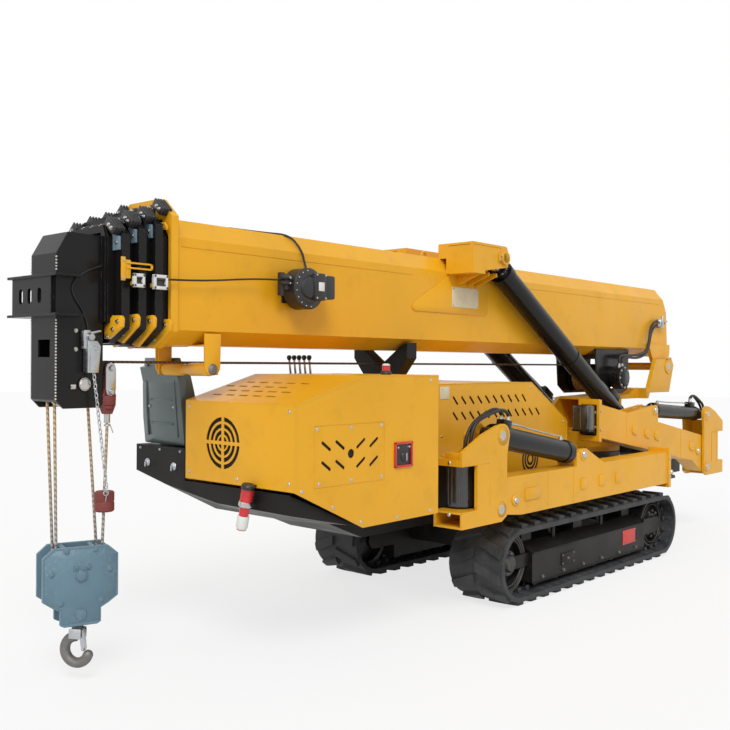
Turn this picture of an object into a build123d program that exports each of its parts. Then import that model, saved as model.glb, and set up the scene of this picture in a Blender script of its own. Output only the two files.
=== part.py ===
"""Tracked spider crane: a nested telescopic boom over a tracked carrier with four folding outriggers.

Units are millimetres. +X points from the boom head to the boom's pivot, +Y to the machine's far side
and +Z up. The origin is on the ground, at the middle of the whole machine's outline; heights and
widths are measured from it, and lengths in this file from a datum MIDDLE_X in front of it.
"""
from build123d import *
from math import atan2, cos, degrees, hypot, pi, radians, sin, tan
import os

# ---------------------------------------------------------------- driving dimensions
HEAD_FRONT_X, BRACKET_FRONT_X = -3210.0, -3240.0
MIDDLE_X = 52.5

# tracks
AXLE_FRONT_X, AXLE_REAR_X = -420.0, 1640.0
TRACK_RADIUS, LUG_HEIGHT, BELT_THICKNESS = 250.0, 24.0, 28.0
TRACK_INNER_Y, TRACK_OUTER_Y = 398.0, 798.0
TRACK_MID_Y = (TRACK_INNER_Y + TRACK_OUTER_Y) / 2
LUG_PITCH = 155.0
SPROCKET_RADIUS = TRACK_RADIUS - LUG_HEIGHT - BELT_THICKNESS - 2

# carrier
FRAME_HALF_WIDTH, FRAME_BOTTOM, FRAME_TOP = 300.0, 490.0, 660.0
FRAME_WAIST = 225.0
POST_RADIUS, POST_GAP = 95.0, 8.0
SLEW_X, RING_RADIUS, RING_BOTTOM, RING_TOP = 1740.0, 330.0, 660.0, 790.0
BEAM_BOTTOM, TAIL_BOTTOM = 1212.0, 1262.0

# engine cover: sheet housing on the near side of the nose
COVER_SHEET = 5.0
COVER_Y = (-780.0, 43.0)
COVER_OUTLINE = [(-2374, 896), (-2374, 1307), (-1891, 1442), (-1266, 1442), (-1266, 675), (-1889, 672)]
GRILLE_CENTRE, GRILLE_RADII, GRILLE_HALF_SLOT = (-259, 1098), (24, 54, 86, 120), 10.5
# slots of the side panel: x of each column's middle and which way its slots lean
PANEL_SLOTS = {-2158: -1, -2060: -1, -1908: 1, -1809: 1}
PANEL_ROWS, PANEL_HOLE = (1101, 1005), (-1981, 1054)
TOP_SLOT_Y = (-500, -532, -428, -512)

# tank cover behind the front outriggers
TANK_HALF_WIDTH = 400.0
TANK_OUTLINE = [(-770, 665), (-770, 1380), (320, 1380), (820, 1090), (820, 665)]
REST_X = (-868.0, -773.0)

# front deck: (y, z) outlines at its front edge and where it meets the frame
DECK_FRONT_X, DECK_BEND_X, DECK_REAR_X = -2366.0, -1960.0, -1272.0
DECK_FRONT = [(-740, 783), (-208, 788), (235, 847), (500, 902),
              (500, 1048), (60, 1048), (60, 880), (-740, 880)]
DECK_REAR = [(-740, 690), (-300, 660), (300, 660), (500, 700),
             (500, 1048), (60, 1048), (60, 710), (-740, 710)]

# boom: closed section, chamfered at its four corners
BOOM_FRONT_X, BOOM_REAR_X = -2670.0, 3010.0
BOOM_TOP, BOOM_SHOULDER, BOOM_SIDE_BOTTOM, BOOM_BOTTOM = 2210.0, 2116.0, 1660.0, 1590.0
BOOM_HALF_WIDTH, BOOM_TOP_HALF, BOOM_FLAT_HALF = 210.0, 150.0, 90.0
BOOM_WALL, SECTION_WALL, SECTION_STEP = 8.0, 6.0, 16.0
COLLAR_PITCH, COLLAR_LENGTH = 88.0, 42.0
# collars of sections 1 to 4: top, height of the top corners, half widths of the top and of the body, and how
# far each stands out below the outer section
COLLARS = {
    1: dict(top=2305.0, shoulder=2215.0, top_half=128.0, half=227.0, rim=17.0),
    2: dict(top=2245.0, shoulder=2163.0, top_half=118.0, half=221.0, rim=11.0),
    3: dict(top=2212.0, shoulder=2130.0, top_half=118.0, half=215.0, rim=5.0),
    4: dict(top=2180.0, shoulder=2098.0, top_half=118.0, half=209.0, rim=-1.0),
}
PIVOT = (2865.0, 1497.0)
PIVOT_PIN_RADIUS = 35.0

# lift cylinders, one each side of the boom
LIFT_Y, LIFT_BARREL_RADIUS, LIFT_ROD_RADIUS = 315.0, 80.0, 45.0
LIFT_LOWER, LIFT_UPPER = (1860.0, 1045.0), (-85.0, 2223.0)
LIFT_EYE_RADIUS, LIFT_EYE_HALF = 68.0, 34.0

# boom head and hoist
HEAD_HALF_WIDTH, HEAD_REAR_X, HEAD_TOP, HEAD_BOTTOM = 110.0, -2970.0, 2092.0, 1290.0
SHEAVE_X, SHEAVE_Z, SHEAVE_RADIUS, PITCH_RADIUS = -3070.0, 1400.0, 112.0, 103.0
SHEAVE_Y = 34.0
ROPE_RADIUS = 7.0
SOCKET_PIN = (-2934.0, 1475.0)
BRACKET_SLOTS_Y = (10.0, 100.0, 180.0)

# hook block, turned a little about the falls; its cheek outline is (along the block, height)
BLOCK_X, BLOCK_TWIST, BLOCK_SHEAVE_Z = -3030.0, 18.0, 513.0
CHEEK_INNER, CHEEK_OUTER = 56.0, 76.0
CHEEK_HALF = [(124, 645), (172, 603), (172, 405), (125, 372), (93, 355), (93, 290), (75, 280)]
SPACERS = [(66, 630), (133, 530), (92, 392)]
TRUNNION_Z = 332.0
HOOK_TURN, HOOK_Z, HOOK_PATH, HOOK_THICK = 62.0, 150.0, 62.0, 24.0
WINCH = (1960.0, 1400.0)

# outriggers, in the folded pose. Heights are above ground, u runs along the folded arm away from the
# post, v runs outwards from the post.
#   post: the post's x and y          along: the arm's direction in X      back: the knuckle's end u
#   lower, upper, bracket: the (u, z) of the arm's pin, the cylinder's pin and the pin of its rod
#   floor: the knuckle's lowest z     mouth: z limits of the gap that takes the post
#   slope: the arm's rise, degrees    mid_z: z of its centre line at u = ARM_DATUM_U
#   flange_u: the arm's open end      ear: reach of the rod's ears towards the post and away from it
#   barrel: radius of the cylinder
OUTRIGGERS = {
    "front": dict(post=(-890.0, 650.0), along=1, back=-180.0, lower=(229.0, 629.0), upper=(239.0, 1073.0),
                  bracket=(1278.0, 888.0), floor=555.0, mouth=(654.0, 914.0), slope=0.0, mid_z=688.0,
                  flange_u=2685.0, ear=(92.0, 305.0), barrel=73.0),
    "rear": dict(post=(3190.0, 460.0), along=-1, back=-155.0, lower=(224.0, 589.0), upper=(223.0, 1067.0),
                 bracket=(1252.0, 1134.0), floor=512.0, mouth=(628.0, 897.0), slope=9.8, mid_z=773.0,
                 flange_u=2240.0, ear=(59.0, 500.0), barrel=60.0),
}
SIDES = {"left": 1, "right": -1}
ARM_V, ARM_HALF_WIDTH, ARM_HALF_HEIGHT, ARM_WALL, ARM_DATUM_U = 50.0, 75.0, 124.0, 10.0, 400.0
ARM_FLANGE_RIM, ARM_HOLLOW_START = 32.0, 300.0
LEG_HALF_WIDTH, LEG_HALF_HEIGHT, LEG_LENGTH = 60.0, 107.0, 1280.0
KNUCKLE_OUTER_V, KNUCKLE_PLATE, KNUCKLE_WEB = 152.0, 22.0, 110.0
KNUCKLE_MOUTH = -28.0
PIN_RADIUS, PIN_GAP = 28.0, 0.5
TILT_ROD_RADIUS = 28.0


# ---------------------------------------------------------------- helpers
def prism(axis, outline, low, high):
    """Outline extruded from low to high: axis 'x' takes (y, z) points, 'y' takes (x, z), 'z' takes (x, y)."""
    if axis == "x":
        points, push = [(low, a, b) for a, b in outline], (high - low, 0, 0)
    elif axis == "y":
        points, push = [(a, low, b) for a, b in outline], (0, high - low, 0)
    else:
        points, push = [(a, b, low) for a, b in outline], (0, 0, high - low)
    return Part() + Solid.extrude(Face(Wire.make_polygon(points, close=True)), Vector(*push))


def block(x, y, z):
    """Box between two limits on each axis."""
    return prism("z", [(x[0], y[0]), (x[1], y[0]), (x[1], y[1]), (x[0], y[1])], z[0], z[1])


def bar(start, end, radius):
    """Round bar between two points."""
    direction = Vector(*end) - Vector(*start)
    return Part() + Solid.make_cylinder(radius, direction.length, Plane(origin=start, z_dir=direction))


def disc(axis, centre, radius, low, high):
    """Cylinder along an axis; centre holds the two other coordinates, in X, Y, Z order."""
    ends = []
    for value in (low, high):
        point = list(centre)
        point.insert("xyz".index(axis), value)
        ends.append(tuple(point))
    return bar(ends[0], ends[1], radius)


def boom_outline(inset, rim=0.0):
    """Boom section outline in Y-Z, moved inwards by inset and outwards by rim."""
    shift = inset - rim
    corner = shift * 0.45
    half, top_half, flat = BOOM_HALF_WIDTH - shift, BOOM_TOP_HALF - corner, BOOM_FLAT_HALF - corner
    top, shoulder = BOOM_TOP - shift, BOOM_SHOULDER - corner
    side, bottom = BOOM_SIDE_BOTTOM + corner, BOOM_BOTTOM + shift
    return [(-half, shoulder), (-top_half, top), (top_half, top), (half, shoulder),
            (half, side), (flat, bottom), (-flat, bottom), (-half, side)]


def collar(index, inset, front):
    """Collar plate round a section's front end, with the section's own hollow through it."""
    row = COLLARS[index]
    half, top_half, lower = row["half"], row["top_half"], boom_outline(0, row["rim"])[4:]
    side = [(y / abs(y) * half, z) if abs(y) > BOOM_TOP_HALF else (y, z) for y, z in lower]
    top, shoulder = row["top"], row["shoulder"]
    upper = [(-half, shoulder), (-top_half, top), (top_half, top), (half, shoulder)]
    plate = prism("x", upper + side, front, front + COLLAR_LENGTH)
    return plate - prism("x", boom_outline(inset), front - 1, front + COLLAR_LENGTH + 1)


def tube_section(x_front, x_rear, inset, wall):
    """Hollow length of boom section."""
    outer = prism("x", boom_outline(inset), x_front, x_rear)
    return outer - prism("x", boom_outline(inset + wall), x_front - 1, x_rear + 1)


def slots(count, first_x, pitch, z, y, length, width, lean):
    """Row of slanting slots to cut through a wall that faces Y."""
    cutters = []
    for index in range(count):
        slot = Pos(first_x + index * pitch, y, z) * Rot(0, lean, 0) * Box(length, 40, width)
        cutters.append(slot)
    return cutters


def capsule(start, end, radius, low, high):
    """Plate with round ends between two (x, z) points, from y = low to y = high."""
    length = hypot(end[0] - start[0], end[1] - start[1])
    side = (-(end[1] - start[1]) / length * radius, (end[0] - start[0]) / length * radius)
    outline = [(start[0] + side[0], start[1] + side[1]), (end[0] + side[0], end[1] + side[1]),
               (end[0] - side[0], end[1] - side[1]), (start[0] - side[0], start[1] - side[1])]
    plate = prism("y", outline, low, high)
    return plate + disc("y", start, radius, low, high) + disc("y", end, radius, low, high)


def both_sides(shape):
    """A shape and its mirror image in the machine's middle plane."""
    return [shape, mirror(shape, about=Plane.XZ)]


def save(name, *shapes):
    """One STEP file from one or more solids that don't touch."""
    solids = [Pos(-MIDDLE_X, 0, 0) * solid for shape in shapes for solid in shape.solids()]
    export_step(Compound(children=solids) if len(solids) > 1 else solids[0], f"parts/{name}.step")


# ---------------------------------------------------------------- tracks
def stadium(radius, low, high):
    """Track loop outline, filled, between two Y limits."""
    middle = block((AXLE_FRONT_X, AXLE_REAR_X), (low, high), (TRACK_RADIUS - radius, TRACK_RADIUS + radius))
    return (middle + disc("y", (AXLE_FRONT_X, TRACK_RADIUS), radius, low, high)
            + disc("y", (AXLE_REAR_X, TRACK_RADIUS), radius, low, high))


def lug(side):
    """Slanting lug of one half of the belt: X is the running direction, Z is outwards from the belt."""
    edge, root = side * ((TRACK_OUTER_Y - TRACK_INNER_Y) / 2 - 17), 10.0
    return prism("z", [(8, side * 9), (70, side * 9), (4, edge), (-60, edge)], -root, LUG_HEIGHT)


def track():
    """One track at the far side: a plain belt with two staggered rows of slanting lugs."""
    belt_radius = TRACK_RADIUS - LUG_HEIGHT
    inner_radius = belt_radius - BELT_THICKNESS
    belt = (stadium(belt_radius, TRACK_INNER_Y, TRACK_OUTER_Y)
            - stadium(inner_radius, TRACK_INNER_Y - 1, TRACK_OUTER_Y + 1))
    straight = AXLE_REAR_X - AXLE_FRONT_X
    turn = pi * belt_radius
    loop = 2 * straight + 2 * turn
    count = 2 * round(loop / LUG_PITCH)
    lugs = []
    for index in range(count):
        run = index * loop / count
        if run < straight:
            place = Pos(AXLE_FRONT_X + run, 0, TRACK_RADIUS + belt_radius)
        elif run < straight + turn:
            angle = degrees((run - straight) / belt_radius)
            place = Pos(AXLE_REAR_X, 0, TRACK_RADIUS) * Rot(0, angle, 0) * Pos(0, 0, belt_radius)
        elif run < 2 * straight + turn:
            place = Pos(AXLE_REAR_X - (run - straight - turn), 0, TRACK_RADIUS - belt_radius) * Rot(0, 180, 0)
        else:
            angle = 180 + degrees((run - 2 * straight - turn) / belt_radius)
            place = Pos(AXLE_FRONT_X, 0, TRACK_RADIUS) * Rot(0, angle, 0) * Pos(0, 0, belt_radius)
        lugs.append(place * Pos(0, TRACK_MID_Y, 0) * lug(1 if index % 2 else -1))
    return belt.fuse(*lugs) & stadium(TRACK_RADIUS, TRACK_INNER_Y, TRACK_OUTER_Y)


def track_frame():
    """Box frame inside the far track, with its carrier pads and the arms to the main frame."""
    low, high = TRACK_INNER_Y + 30, TRACK_OUTER_Y - 62
    frame = prism("x", [(low, 95), (high, 95), (high, 285), (high - 90, 345), (low, 345)], -205, 1425)
    for x in (-120, 560, 1300):
        frame += block((x - 60, x + 60), (low + 40, high - 100), (330, 440))
    cheeks = ((AXLE_FRONT_X, 1, low), (AXLE_REAR_X, -1, low), (AXLE_REAR_X, -1, high - 30))
    for x, inward, y in cheeks:
        frame += block(sorted((x + inward * 10, x + inward * 225)), (y, y + 30), (190, 310))
        frame += disc("y", (x, TRACK_RADIUS), 60, y, y + 30)
    for x in (100, 1120):
        frame += block((x - 90, x + 90), (FRAME_HALF_WIDTH + 2, low), (200, 330))
    return frame


def track_wheels():
    """Sprocket and idler of the far track, each with its hub, clear of the frame's cheeks."""
    wheels = []
    low, high = TRACK_INNER_Y + 95, TRACK_OUTER_Y - 105
    for x in (AXLE_FRONT_X, AXLE_REAR_X):
        wheel = disc("y", (x, TRACK_RADIUS), SPROCKET_RADIUS, low, high)
        wheel -= disc("y", (x, TRACK_RADIUS), SPROCKET_RADIUS - 30, low - 1, low + 70)
        wheel -= disc("y", (x, TRACK_RADIUS), SPROCKET_RADIUS - 30, high - 70, high + 1)
        wheels.append(wheel)
    return wheels


# ---------------------------------------------------------------- carrier
def chassis_frame():
    """Main box frame, waisted between the rear outriggers, with the arms and posts that carry all four."""
    rear_end = OUTRIGGERS["rear"]["post"][0] + POST_RADIUS
    side_view = [(-1900, 650), (-1670, 615), (-1365, FRAME_BOTTOM), (rear_end, FRAME_BOTTOM),
                 (rear_end, FRAME_TOP), (-1900, FRAME_TOP)]
    half_plan = [(-1900, FRAME_HALF_WIDTH), (2820, FRAME_HALF_WIDTH),
                 (2940, FRAME_WAIST), (rear_end, FRAME_WAIST)]
    plan = half_plan + [(x, -y) for x, y in reversed(half_plan)]
    frame = prism("y", side_view, -FRAME_HALF_WIDTH, FRAME_HALF_WIDTH)
    frame &= prism("z", plan, FRAME_BOTTOM, FRAME_TOP)
    for row in OUTRIGGERS.values():
        post_x, post_y = row["post"]
        low, high = row["mouth"][0] + POST_GAP, row["mouth"][1] - POST_GAP
        across = sorted((post_x - row["along"] * POST_RADIUS, post_x - row["along"] * 5))
        for side in SIDES.values():
            frame += block(across, sorted((side * 200, side * post_y)), (low, high))
            frame += disc("z", (post_x, side * post_y), POST_RADIUS, low, high)
        frame += block(across, (-FRAME_WAIST, FRAME_WAIST), (FRAME_TOP - 60, high))
    for x in (100, 1120):
        across = (-FRAME_HALF_WIDTH - 2, FRAME_HALF_WIDTH + 2)
        frame += block((x - 90, x + 90), across, (200, FRAME_BOTTOM + 10))
    return frame


def front_deck():
    """Dark platform under the nose: carries the engine on the near side and the seat on the far side."""
    ends = [Wire.make_polygon([(x, y, z) for y, z in outline], close=True)
            for x, outline in ((DECK_FRONT_X, DECK_FRONT), (DECK_BEND_X, DECK_REAR))]
    return Part() + Solid.make_loft(ends, ruled=True) + prism("x", DECK_REAR, DECK_BEND_X, DECK_REAR_X)


def engine_cover():
    """Folded sheet housing, open below: round grille in front, slots on top and in the side panel."""
    shell = prism("y", COVER_OUTLINE, *COVER_Y)
    inner = [(-2374 + COVER_SHEET, 800), (-2374 + COVER_SHEET, 1303), (-1890, 1437),
             (-1266 - COVER_SHEET, 1437), (-1266 - COVER_SHEET, 600), (-1889, 600)]
    shell -= prism("y", inner, COVER_Y[0] + COVER_SHEET, COVER_Y[1] - COVER_SHEET)
    shell -= front_deck()
    # round grille: arcs of a ring pattern, held by a cross
    y, z = GRILLE_CENTRE
    cross = block((-2400, -2340), (y - 9, y + 9), (z - 150, z + 150))
    cross += block((-2400, -2340), (y - 150, y + 150), (z - 9, z + 9))
    for radius in GRILLE_RADII:
        ring = disc("x", GRILLE_CENTRE, radius + GRILLE_HALF_SLOT, -2390, -2355)
        ring -= disc("x", GRILLE_CENTRE, radius - GRILLE_HALF_SLOT, -2391, -2354)
        shell -= ring - cross
    # side panel: two columns of slots that lean one way, a round hole, two that lean the other way
    sheet = (COVER_Y[0] - 10, COVER_Y[0] + 10)
    shell -= disc("y", PANEL_HOLE, 23, *sheet)
    for x, lean in PANEL_SLOTS.items():
        for row_z in PANEL_ROWS:
            shell -= capsule((x - 26, row_z - lean * 18), (x + 26, row_z + lean * 18), 8, *sheet)
    # staggered rows of slots across the sloping top plate
    slope = degrees(atan2(1442 - 1307, 483))
    for row in range(4):
        for column in range(5):
            place = Pos(-2266 + row * 74, TOP_SLOT_Y[row] + column * 104, 1337 + row * 20.7)
            shell -= place * Rot(0, -slope, 0) * Box(18, 68, 60)
    return shell


def tank_cover():
    """Folded sheet hood over the tanks and valves, open below, with two rows of slots each side."""
    shell = prism("y", TANK_OUTLINE, -TANK_HALF_WIDTH, TANK_HALF_WIDTH)
    inner = [(-765, 600), (-765, 1375), (318, 1375), (815, 1087), (815, 600)]
    shell -= prism("y", inner, -TANK_HALF_WIDTH + COVER_SHEET, TANK_HALF_WIDTH - COVER_SHEET)
    for side in SIDES.values():
        for count, first_x, z in ((10, -590, 1270), (12, -590, 1170)):
            for cutter in slots(count, first_x, 90, z, side * TANK_HALF_WIDTH, 74, 16, 45):
                shell -= cutter
    return shell


def boom_rest():
    """Forked stand on the frame's middle line: its pads bear on the boom's lower chamfers."""
    stand = block(REST_X, (-60, 60), (FRAME_TOP, 1450))
    for side in SIDES.values():
        fork = [(0, 1330), (side * 60, 1330), (side * 225, 1540), (side * 225, 1638), (side * 180, 1622),
                (0, 1490)]
        stand += prism("x", fork, *REST_X)
    return stand


def operator_seat():
    """Moulded seat on the far side of the deck, facing the levers."""
    cushion = block((-2230, -1850), (95, 485), (1050, 1180))
    cushion = fillet(cushion.edges().filter_by(Axis.Z), 50)
    back_outline = [(-2330, 1050), (-2200, 1050), (-2215, 1180), (-2262, 1360), (-2310, 1530), (-2352, 1532),
                    (-2358, 1380), (-2345, 1200)]
    back = prism("y", back_outline, 105, 480)
    return cushion + back


def lever_bank():
    """Valve cover with a row of five levers."""
    bank = block((-1480, -1310), (60, 320), (1050, 1400))
    for index in range(5):
        y = 100 + index * 44
        bank += bar((-1390, y, 1390), (-1410, y, 1530), 6)
        bank += Pos(-1410, y, 1538) * Sphere(14)
    return bank


# ---------------------------------------------------------------- turret
def turret():
    """Slewing frame: a deep box over the ring with the lift cylinders' stubs, then a shallow beam that
    clears the rear outriggers as it turns, and two ears for the boom's pivot."""
    body = disc("z", (SLEW_X, 0), RING_RADIUS, RING_TOP + 6, RING_TOP + 50)
    cheek = [(1430, 830), (1430, 960), (1560, 1130), (1690, 1230), (2300, 1248), (2440, 1300), (2680, 1300),
             (2680, TAIL_BOTTOM), (2480, TAIL_BOTTOM), (2445, BEAM_BOTTOM), (2110, BEAM_BOTTOM), (2110, 830)]
    for side in SIDES.values():
        body += prism("y", cheek, side * 165, side * 200)
    body += block((1450, 2090), (-170, 170), (830, 960)) + block((2060, 2110), (-170, 170), (950, 1240))
    body += block((1690, 2440), (-170, 170), (BEAM_BOTTOM, BEAM_BOTTOM + 24))
    body += block((2430, 2680), (-285, 285), (TAIL_BOTTOM + 6, 1300))
    ear = [(2421, BEAM_BOTTOM), (2612, 1562), (2943, 1567), (2988, 1511), (2894, TAIL_BOTTOM),
           (2490, TAIL_BOTTOM), (2460, BEAM_BOTTOM)]
    for side in SIDES.values():
        body += prism("y", ear, side * 250, side * 285)
        body += disc("y", LIFT_LOWER, 40, side * 160, side * 276)
    body += block((2421, 2440), (-285, 285), (BEAM_BOTTOM, 1300))
    body += disc("y", PIVOT, PIVOT_PIN_RADIUS, -285, 285)
    return body


# ---------------------------------------------------------------- boom
def lift_bracket(side):
    """Boom bracket that holds the lift cylinder's upper pin: ribbed box in front, cheek outside the eye."""
    x, z = LIFT_UPPER
    cheek = prism("y", [(x - 355, 2290), (x + 40, 2300), (x + 76, z), (x + 50, z - 60), (x - 60, z - 75),
                        (x - 355, 2100)], side * 400, side * 424)
    rib = block((x - 355, x - 215), sorted((side * 205, side * 424)), (2100, 2285))
    top = block((x - 355, x + 30), sorted((side * 205, side * 424)), (2288, 2304))
    boss = disc("y", (x, z), 46, side * 363, side * 446)
    inner = prism("y", [(x - 355, 2100), (x + 90, 2140), (x + 90, 2190), (x + 40, 2304), (x - 355, 2304)],
                  side * 205, side * 222)
    stiffener = prism("y", [(x, 2200), (x + 90, 2190), (1180, 1720), (1150, 1670), (1020, 1670)],
                      side * 205, side * 222)
    saddle = block((x - 355, x + 30), sorted((side * 140, side * 222)), (BOOM_TOP - 4, 2304))
    return cheek + rib + top + boss + inner + stiffener + saddle


def boom_base():
    """Outer boom section: hollow box with front flange, root plates at the pivot and the lift brackets."""
    body = tube_section(BOOM_FRONT_X, BOOM_REAR_X, 0, BOOM_WALL)
    corner = [(2873, 2300), (2873, 2180), (2985, 2000), (3020, 1560), (3200, 1560), (3200, 2300)]
    body -= prism("y", corner, -300, 300)
    body += collar(1, BOOM_WALL, BOOM_FRONT_X)
    x, z = PIVOT
    root = [(2560, 1700), (2660, 1540), (x - 62, z - 34), (x + 20, z - 68), (x + 66, z - 20), (3005, 1620),
            (3005, 1700)]
    for side in SIDES.values():
        plate = prism("y", root, side * 204, side * 238)
        body += plate - disc("y", PIVOT, PIVOT_PIN_RADIUS + PIN_GAP, side * 180, side * 260)
        body += lift_bracket(side)
        # rope guide frame under the front: two legs and a cross tube
        body += block((-2440, -2360), sorted((side * 188, side * 204)), (1440, 1650))
    body += disc("y", (-2400, 1468), 24, -196, 196)
    return body


def boom_section(index):
    """Inner section 2, 3, 4 or 5: hollow tube with a collar, longest at the front."""
    step = index - 1
    inset = step * SECTION_STEP
    front = BOOM_FRONT_X - step * COLLAR_PITCH
    rear = 2820.0 - step * 30
    if index == 5:
        return tube_section(HEAD_REAR_X, rear, inset, SECTION_WALL)
    return tube_section(front, rear, inset, SECTION_WALL) + collar(index, inset + SECTION_WALL, front)


def boom_head():
    """Box head: deep cheeks, a front wall with a window, the cross bracket; open at the rear."""
    front = HEAD_FRONT_X
    side_view = [(front, 1330), (front + 40, HEAD_BOTTOM), (-2985, HEAD_BOTTOM), (HEAD_REAR_X, 1310),
                 (HEAD_REAR_X, HEAD_TOP), (-3153, HEAD_TOP), (front, 1993)]
    head = prism("y", side_view, -HEAD_HALF_WIDTH, HEAD_HALF_WIDTH)
    inner = [(front + 10, 1200), (HEAD_REAR_X + 20, 1200), (HEAD_REAR_X + 20, 1560), (HEAD_REAR_X - 10, 1640),
             (HEAD_REAR_X - 10, 2082), (-3148, 2082), (front + 10, 1988)]
    head -= prism("y", inner, -HEAD_HALF_WIDTH + 10, HEAD_HALF_WIDTH - 10)
    head -= block((front - 5, front + 20), (-59, 45), (1523, 1603))
    flange = prism("x", boom_outline(4 * SECTION_STEP + SECTION_WALL + 1), HEAD_REAR_X - 10, HEAD_REAR_X + 30)
    head += flange - prism("x", boom_outline(4 * SECTION_STEP + 40), HEAD_REAR_X - 20, HEAD_REAR_X + 40)
    # cross bracket: two flanges right through the box, and a slotted web on its front wall
    for z in (1708, 1887):
        head += block((BRACKET_FRONT_X, -3100), (-158, 282), (z, z + 12))
    web = block((front - 15, front), (-90, 262), (1715, 1890))
    for y in BRACKET_SLOTS_Y:
        web -= block((front - 20, front + 5), (y - 18, y + 18), (1787, 1822))
        for z in (1787, 1822):
            web -= disc("x", (y, z), 18, front - 20, front + 5)
    head += web
    head -= disc("y", (SHEAVE_X, SHEAVE_Z), 26, -200, 200)
    head += block((-2978, -2908), (-HEAD_HALF_WIDTH, -74), (1445, 1505))
    return head - disc("y", SOCKET_PIN, 14.5, -200, -60)


def sheave(centre, y):
    """Grooved rope wheel with a recessed web."""
    x, z = centre
    rim = SHEAVE_RADIUS
    groove = PITCH_RADIUS - ROPE_RADIUS - 0.5
    profile = [(27, -16), (27, 16), (40, 16), (40, 7), (rim - 34, 7), (rim - 30, 16), (rim, 16), (groove, 8),
               (groove, -8), (rim, -16), (rim - 30, -16), (rim - 34, -7), (40, -7), (40, -16)]
    face = Face(Wire.make_polygon([(radius, offset, 0) for radius, offset in profile], close=True))
    return Pos(x, y, z) * (Part() + Solid.revolve(face, 360, Axis.Y))


def head_sheaves():
    """Two sheaves on one axle whose ends show outside the head."""
    axle = disc("y", (SHEAVE_X, SHEAVE_Z), 25.5, -HEAD_HALF_WIDTH - 4, HEAD_HALF_WIDTH + 4)
    axle += disc("y", (SHEAVE_X, SHEAVE_Z), 30, -HEAD_HALF_WIDTH - 14, -HEAD_HALF_WIDTH - 4)
    axle += disc("y", (SHEAVE_X, SHEAVE_Z), 30, -60, 60)
    return axle + sheave((SHEAVE_X, SHEAVE_Z), SHEAVE_Y) + sheave((SHEAVE_X, SHEAVE_Z), -SHEAVE_Y)


def rope_socket():
    """Dead end of the hoist rope: a wedge socket on two link plates behind the head, and its ferrule."""
    top, low = SOCKET_PIN, (SOCKET_PIN[0], SOCKET_PIN[1] - 112)
    socket = capsule(top, low, 26, -122, -112) + capsule(top, low, 26, -72, -62)
    socket += disc("y", top, 14, -126, -62) + disc("y", low, 14, -126, -62)
    x = SOCKET_PIN[0]
    body = [(x - 24, 1378), (x + 24, 1378), (x + 36, 1345), (x + 34, 1300), (x + 16, 1258), (x - 16, 1258),
            (x - 34, 1300), (x - 36, 1345)]
    socket += prism("y", body, -112, -72)
    return socket + bar((x, -92, 1262), (x, -92, 1222), 12)


# ---------------------------------------------------------------- hook block
def twisted(shape):
    """Moves a shape from the hook block's own frame to the machine's."""
    return Pos(BLOCK_X, 0, 0) * Rot(0, 0, -BLOCK_TWIST) * shape


def hook_block():
    """Two cheeks with spacers, and the trunnion that carries the hook."""
    outline = CHEEK_HALF + [(-x, z) for x, z in reversed(CHEEK_HALF)]
    body = prism("y", outline, CHEEK_INNER, CHEEK_OUTER) + prism("y", outline, -CHEEK_OUTER, -CHEEK_INNER)
    for x, z in SPACERS + [(-x, z) for x, z in SPACERS]:
        body += disc("y", (x, z), 12, -CHEEK_OUTER, CHEEK_OUTER)
    body += block((-70, 70), (-CHEEK_INNER - 2, CHEEK_INNER + 2), (TRUNNION_Z - 32, TRUNNION_Z + 32))
    body += disc("y", (0, TRUNNION_Z), 24, -CHEEK_OUTER - 8, CHEEK_OUTER + 8)
    return twisted(body + disc("y", (0, BLOCK_SHEAVE_Z), 25.5, -CHEEK_OUTER - 5, CHEEK_OUTER + 5))


def block_sheaves():
    """The block's two sheaves, clear of their pin."""
    return [twisted(sheave((0, BLOCK_SHEAVE_Z), y)) for y in (SHEAVE_Y, -SHEAVE_Y)]


def hook():
    """Forged hook: a straight shank, then a horn that bends round to its tip."""
    eye_z = HOOK_Z + HOOK_PATH - 2
    shape = bar((0, 0, TRUNNION_Z - 34), (0, 0, eye_z), HOOK_THICK)
    section = Face(Wire.make_circle(HOOK_THICK, Plane(origin=(HOOK_PATH, 0, 0))))
    horn = Part() + Solid.revolve(section, 250, Axis.Y)
    shape += Pos(0, 0, HOOK_Z) * Rot(0, -90, 0) * horn
    tip = radians(90 - 250)
    shape += Pos(HOOK_PATH * cos(tip), 0, HOOK_Z + HOOK_PATH * sin(tip)) * Sphere(HOOK_THICK)
    return Pos(BLOCK_X, 0, 0) * Rot(0, 0, 180 - HOOK_TURN) * shape


def block_point(along_block, across):
    """Machine x and y of a point in the hook block's own frame."""
    turn = radians(BLOCK_TWIST)
    x = BLOCK_X + along_block * cos(turn) + across * sin(turn)
    return x, across * cos(turn) - along_block * sin(turn)


def hoist_falls():
    """Four parts of taut rope between the head's and the block's sheaves."""
    ends = [((SHEAVE_X - PITCH_RADIUS, SHEAVE_Y, SHEAVE_Z), block_point(-PITCH_RADIUS, SHEAVE_Y)),
            ((SHEAVE_X - PITCH_RADIUS, -SHEAVE_Y, SHEAVE_Z), block_point(-PITCH_RADIUS, -SHEAVE_Y)),
            ((SHEAVE_X + PITCH_RADIUS, SHEAVE_Y, SHEAVE_Z), block_point(PITCH_RADIUS, SHEAVE_Y)),
            ((SOCKET_PIN[0], -92, 1190), block_point(PITCH_RADIUS, -SHEAVE_Y))]
    return [bar(top, (*foot, BLOCK_SHEAVE_Z), ROPE_RADIUS) for top, foot in ends]


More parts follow.
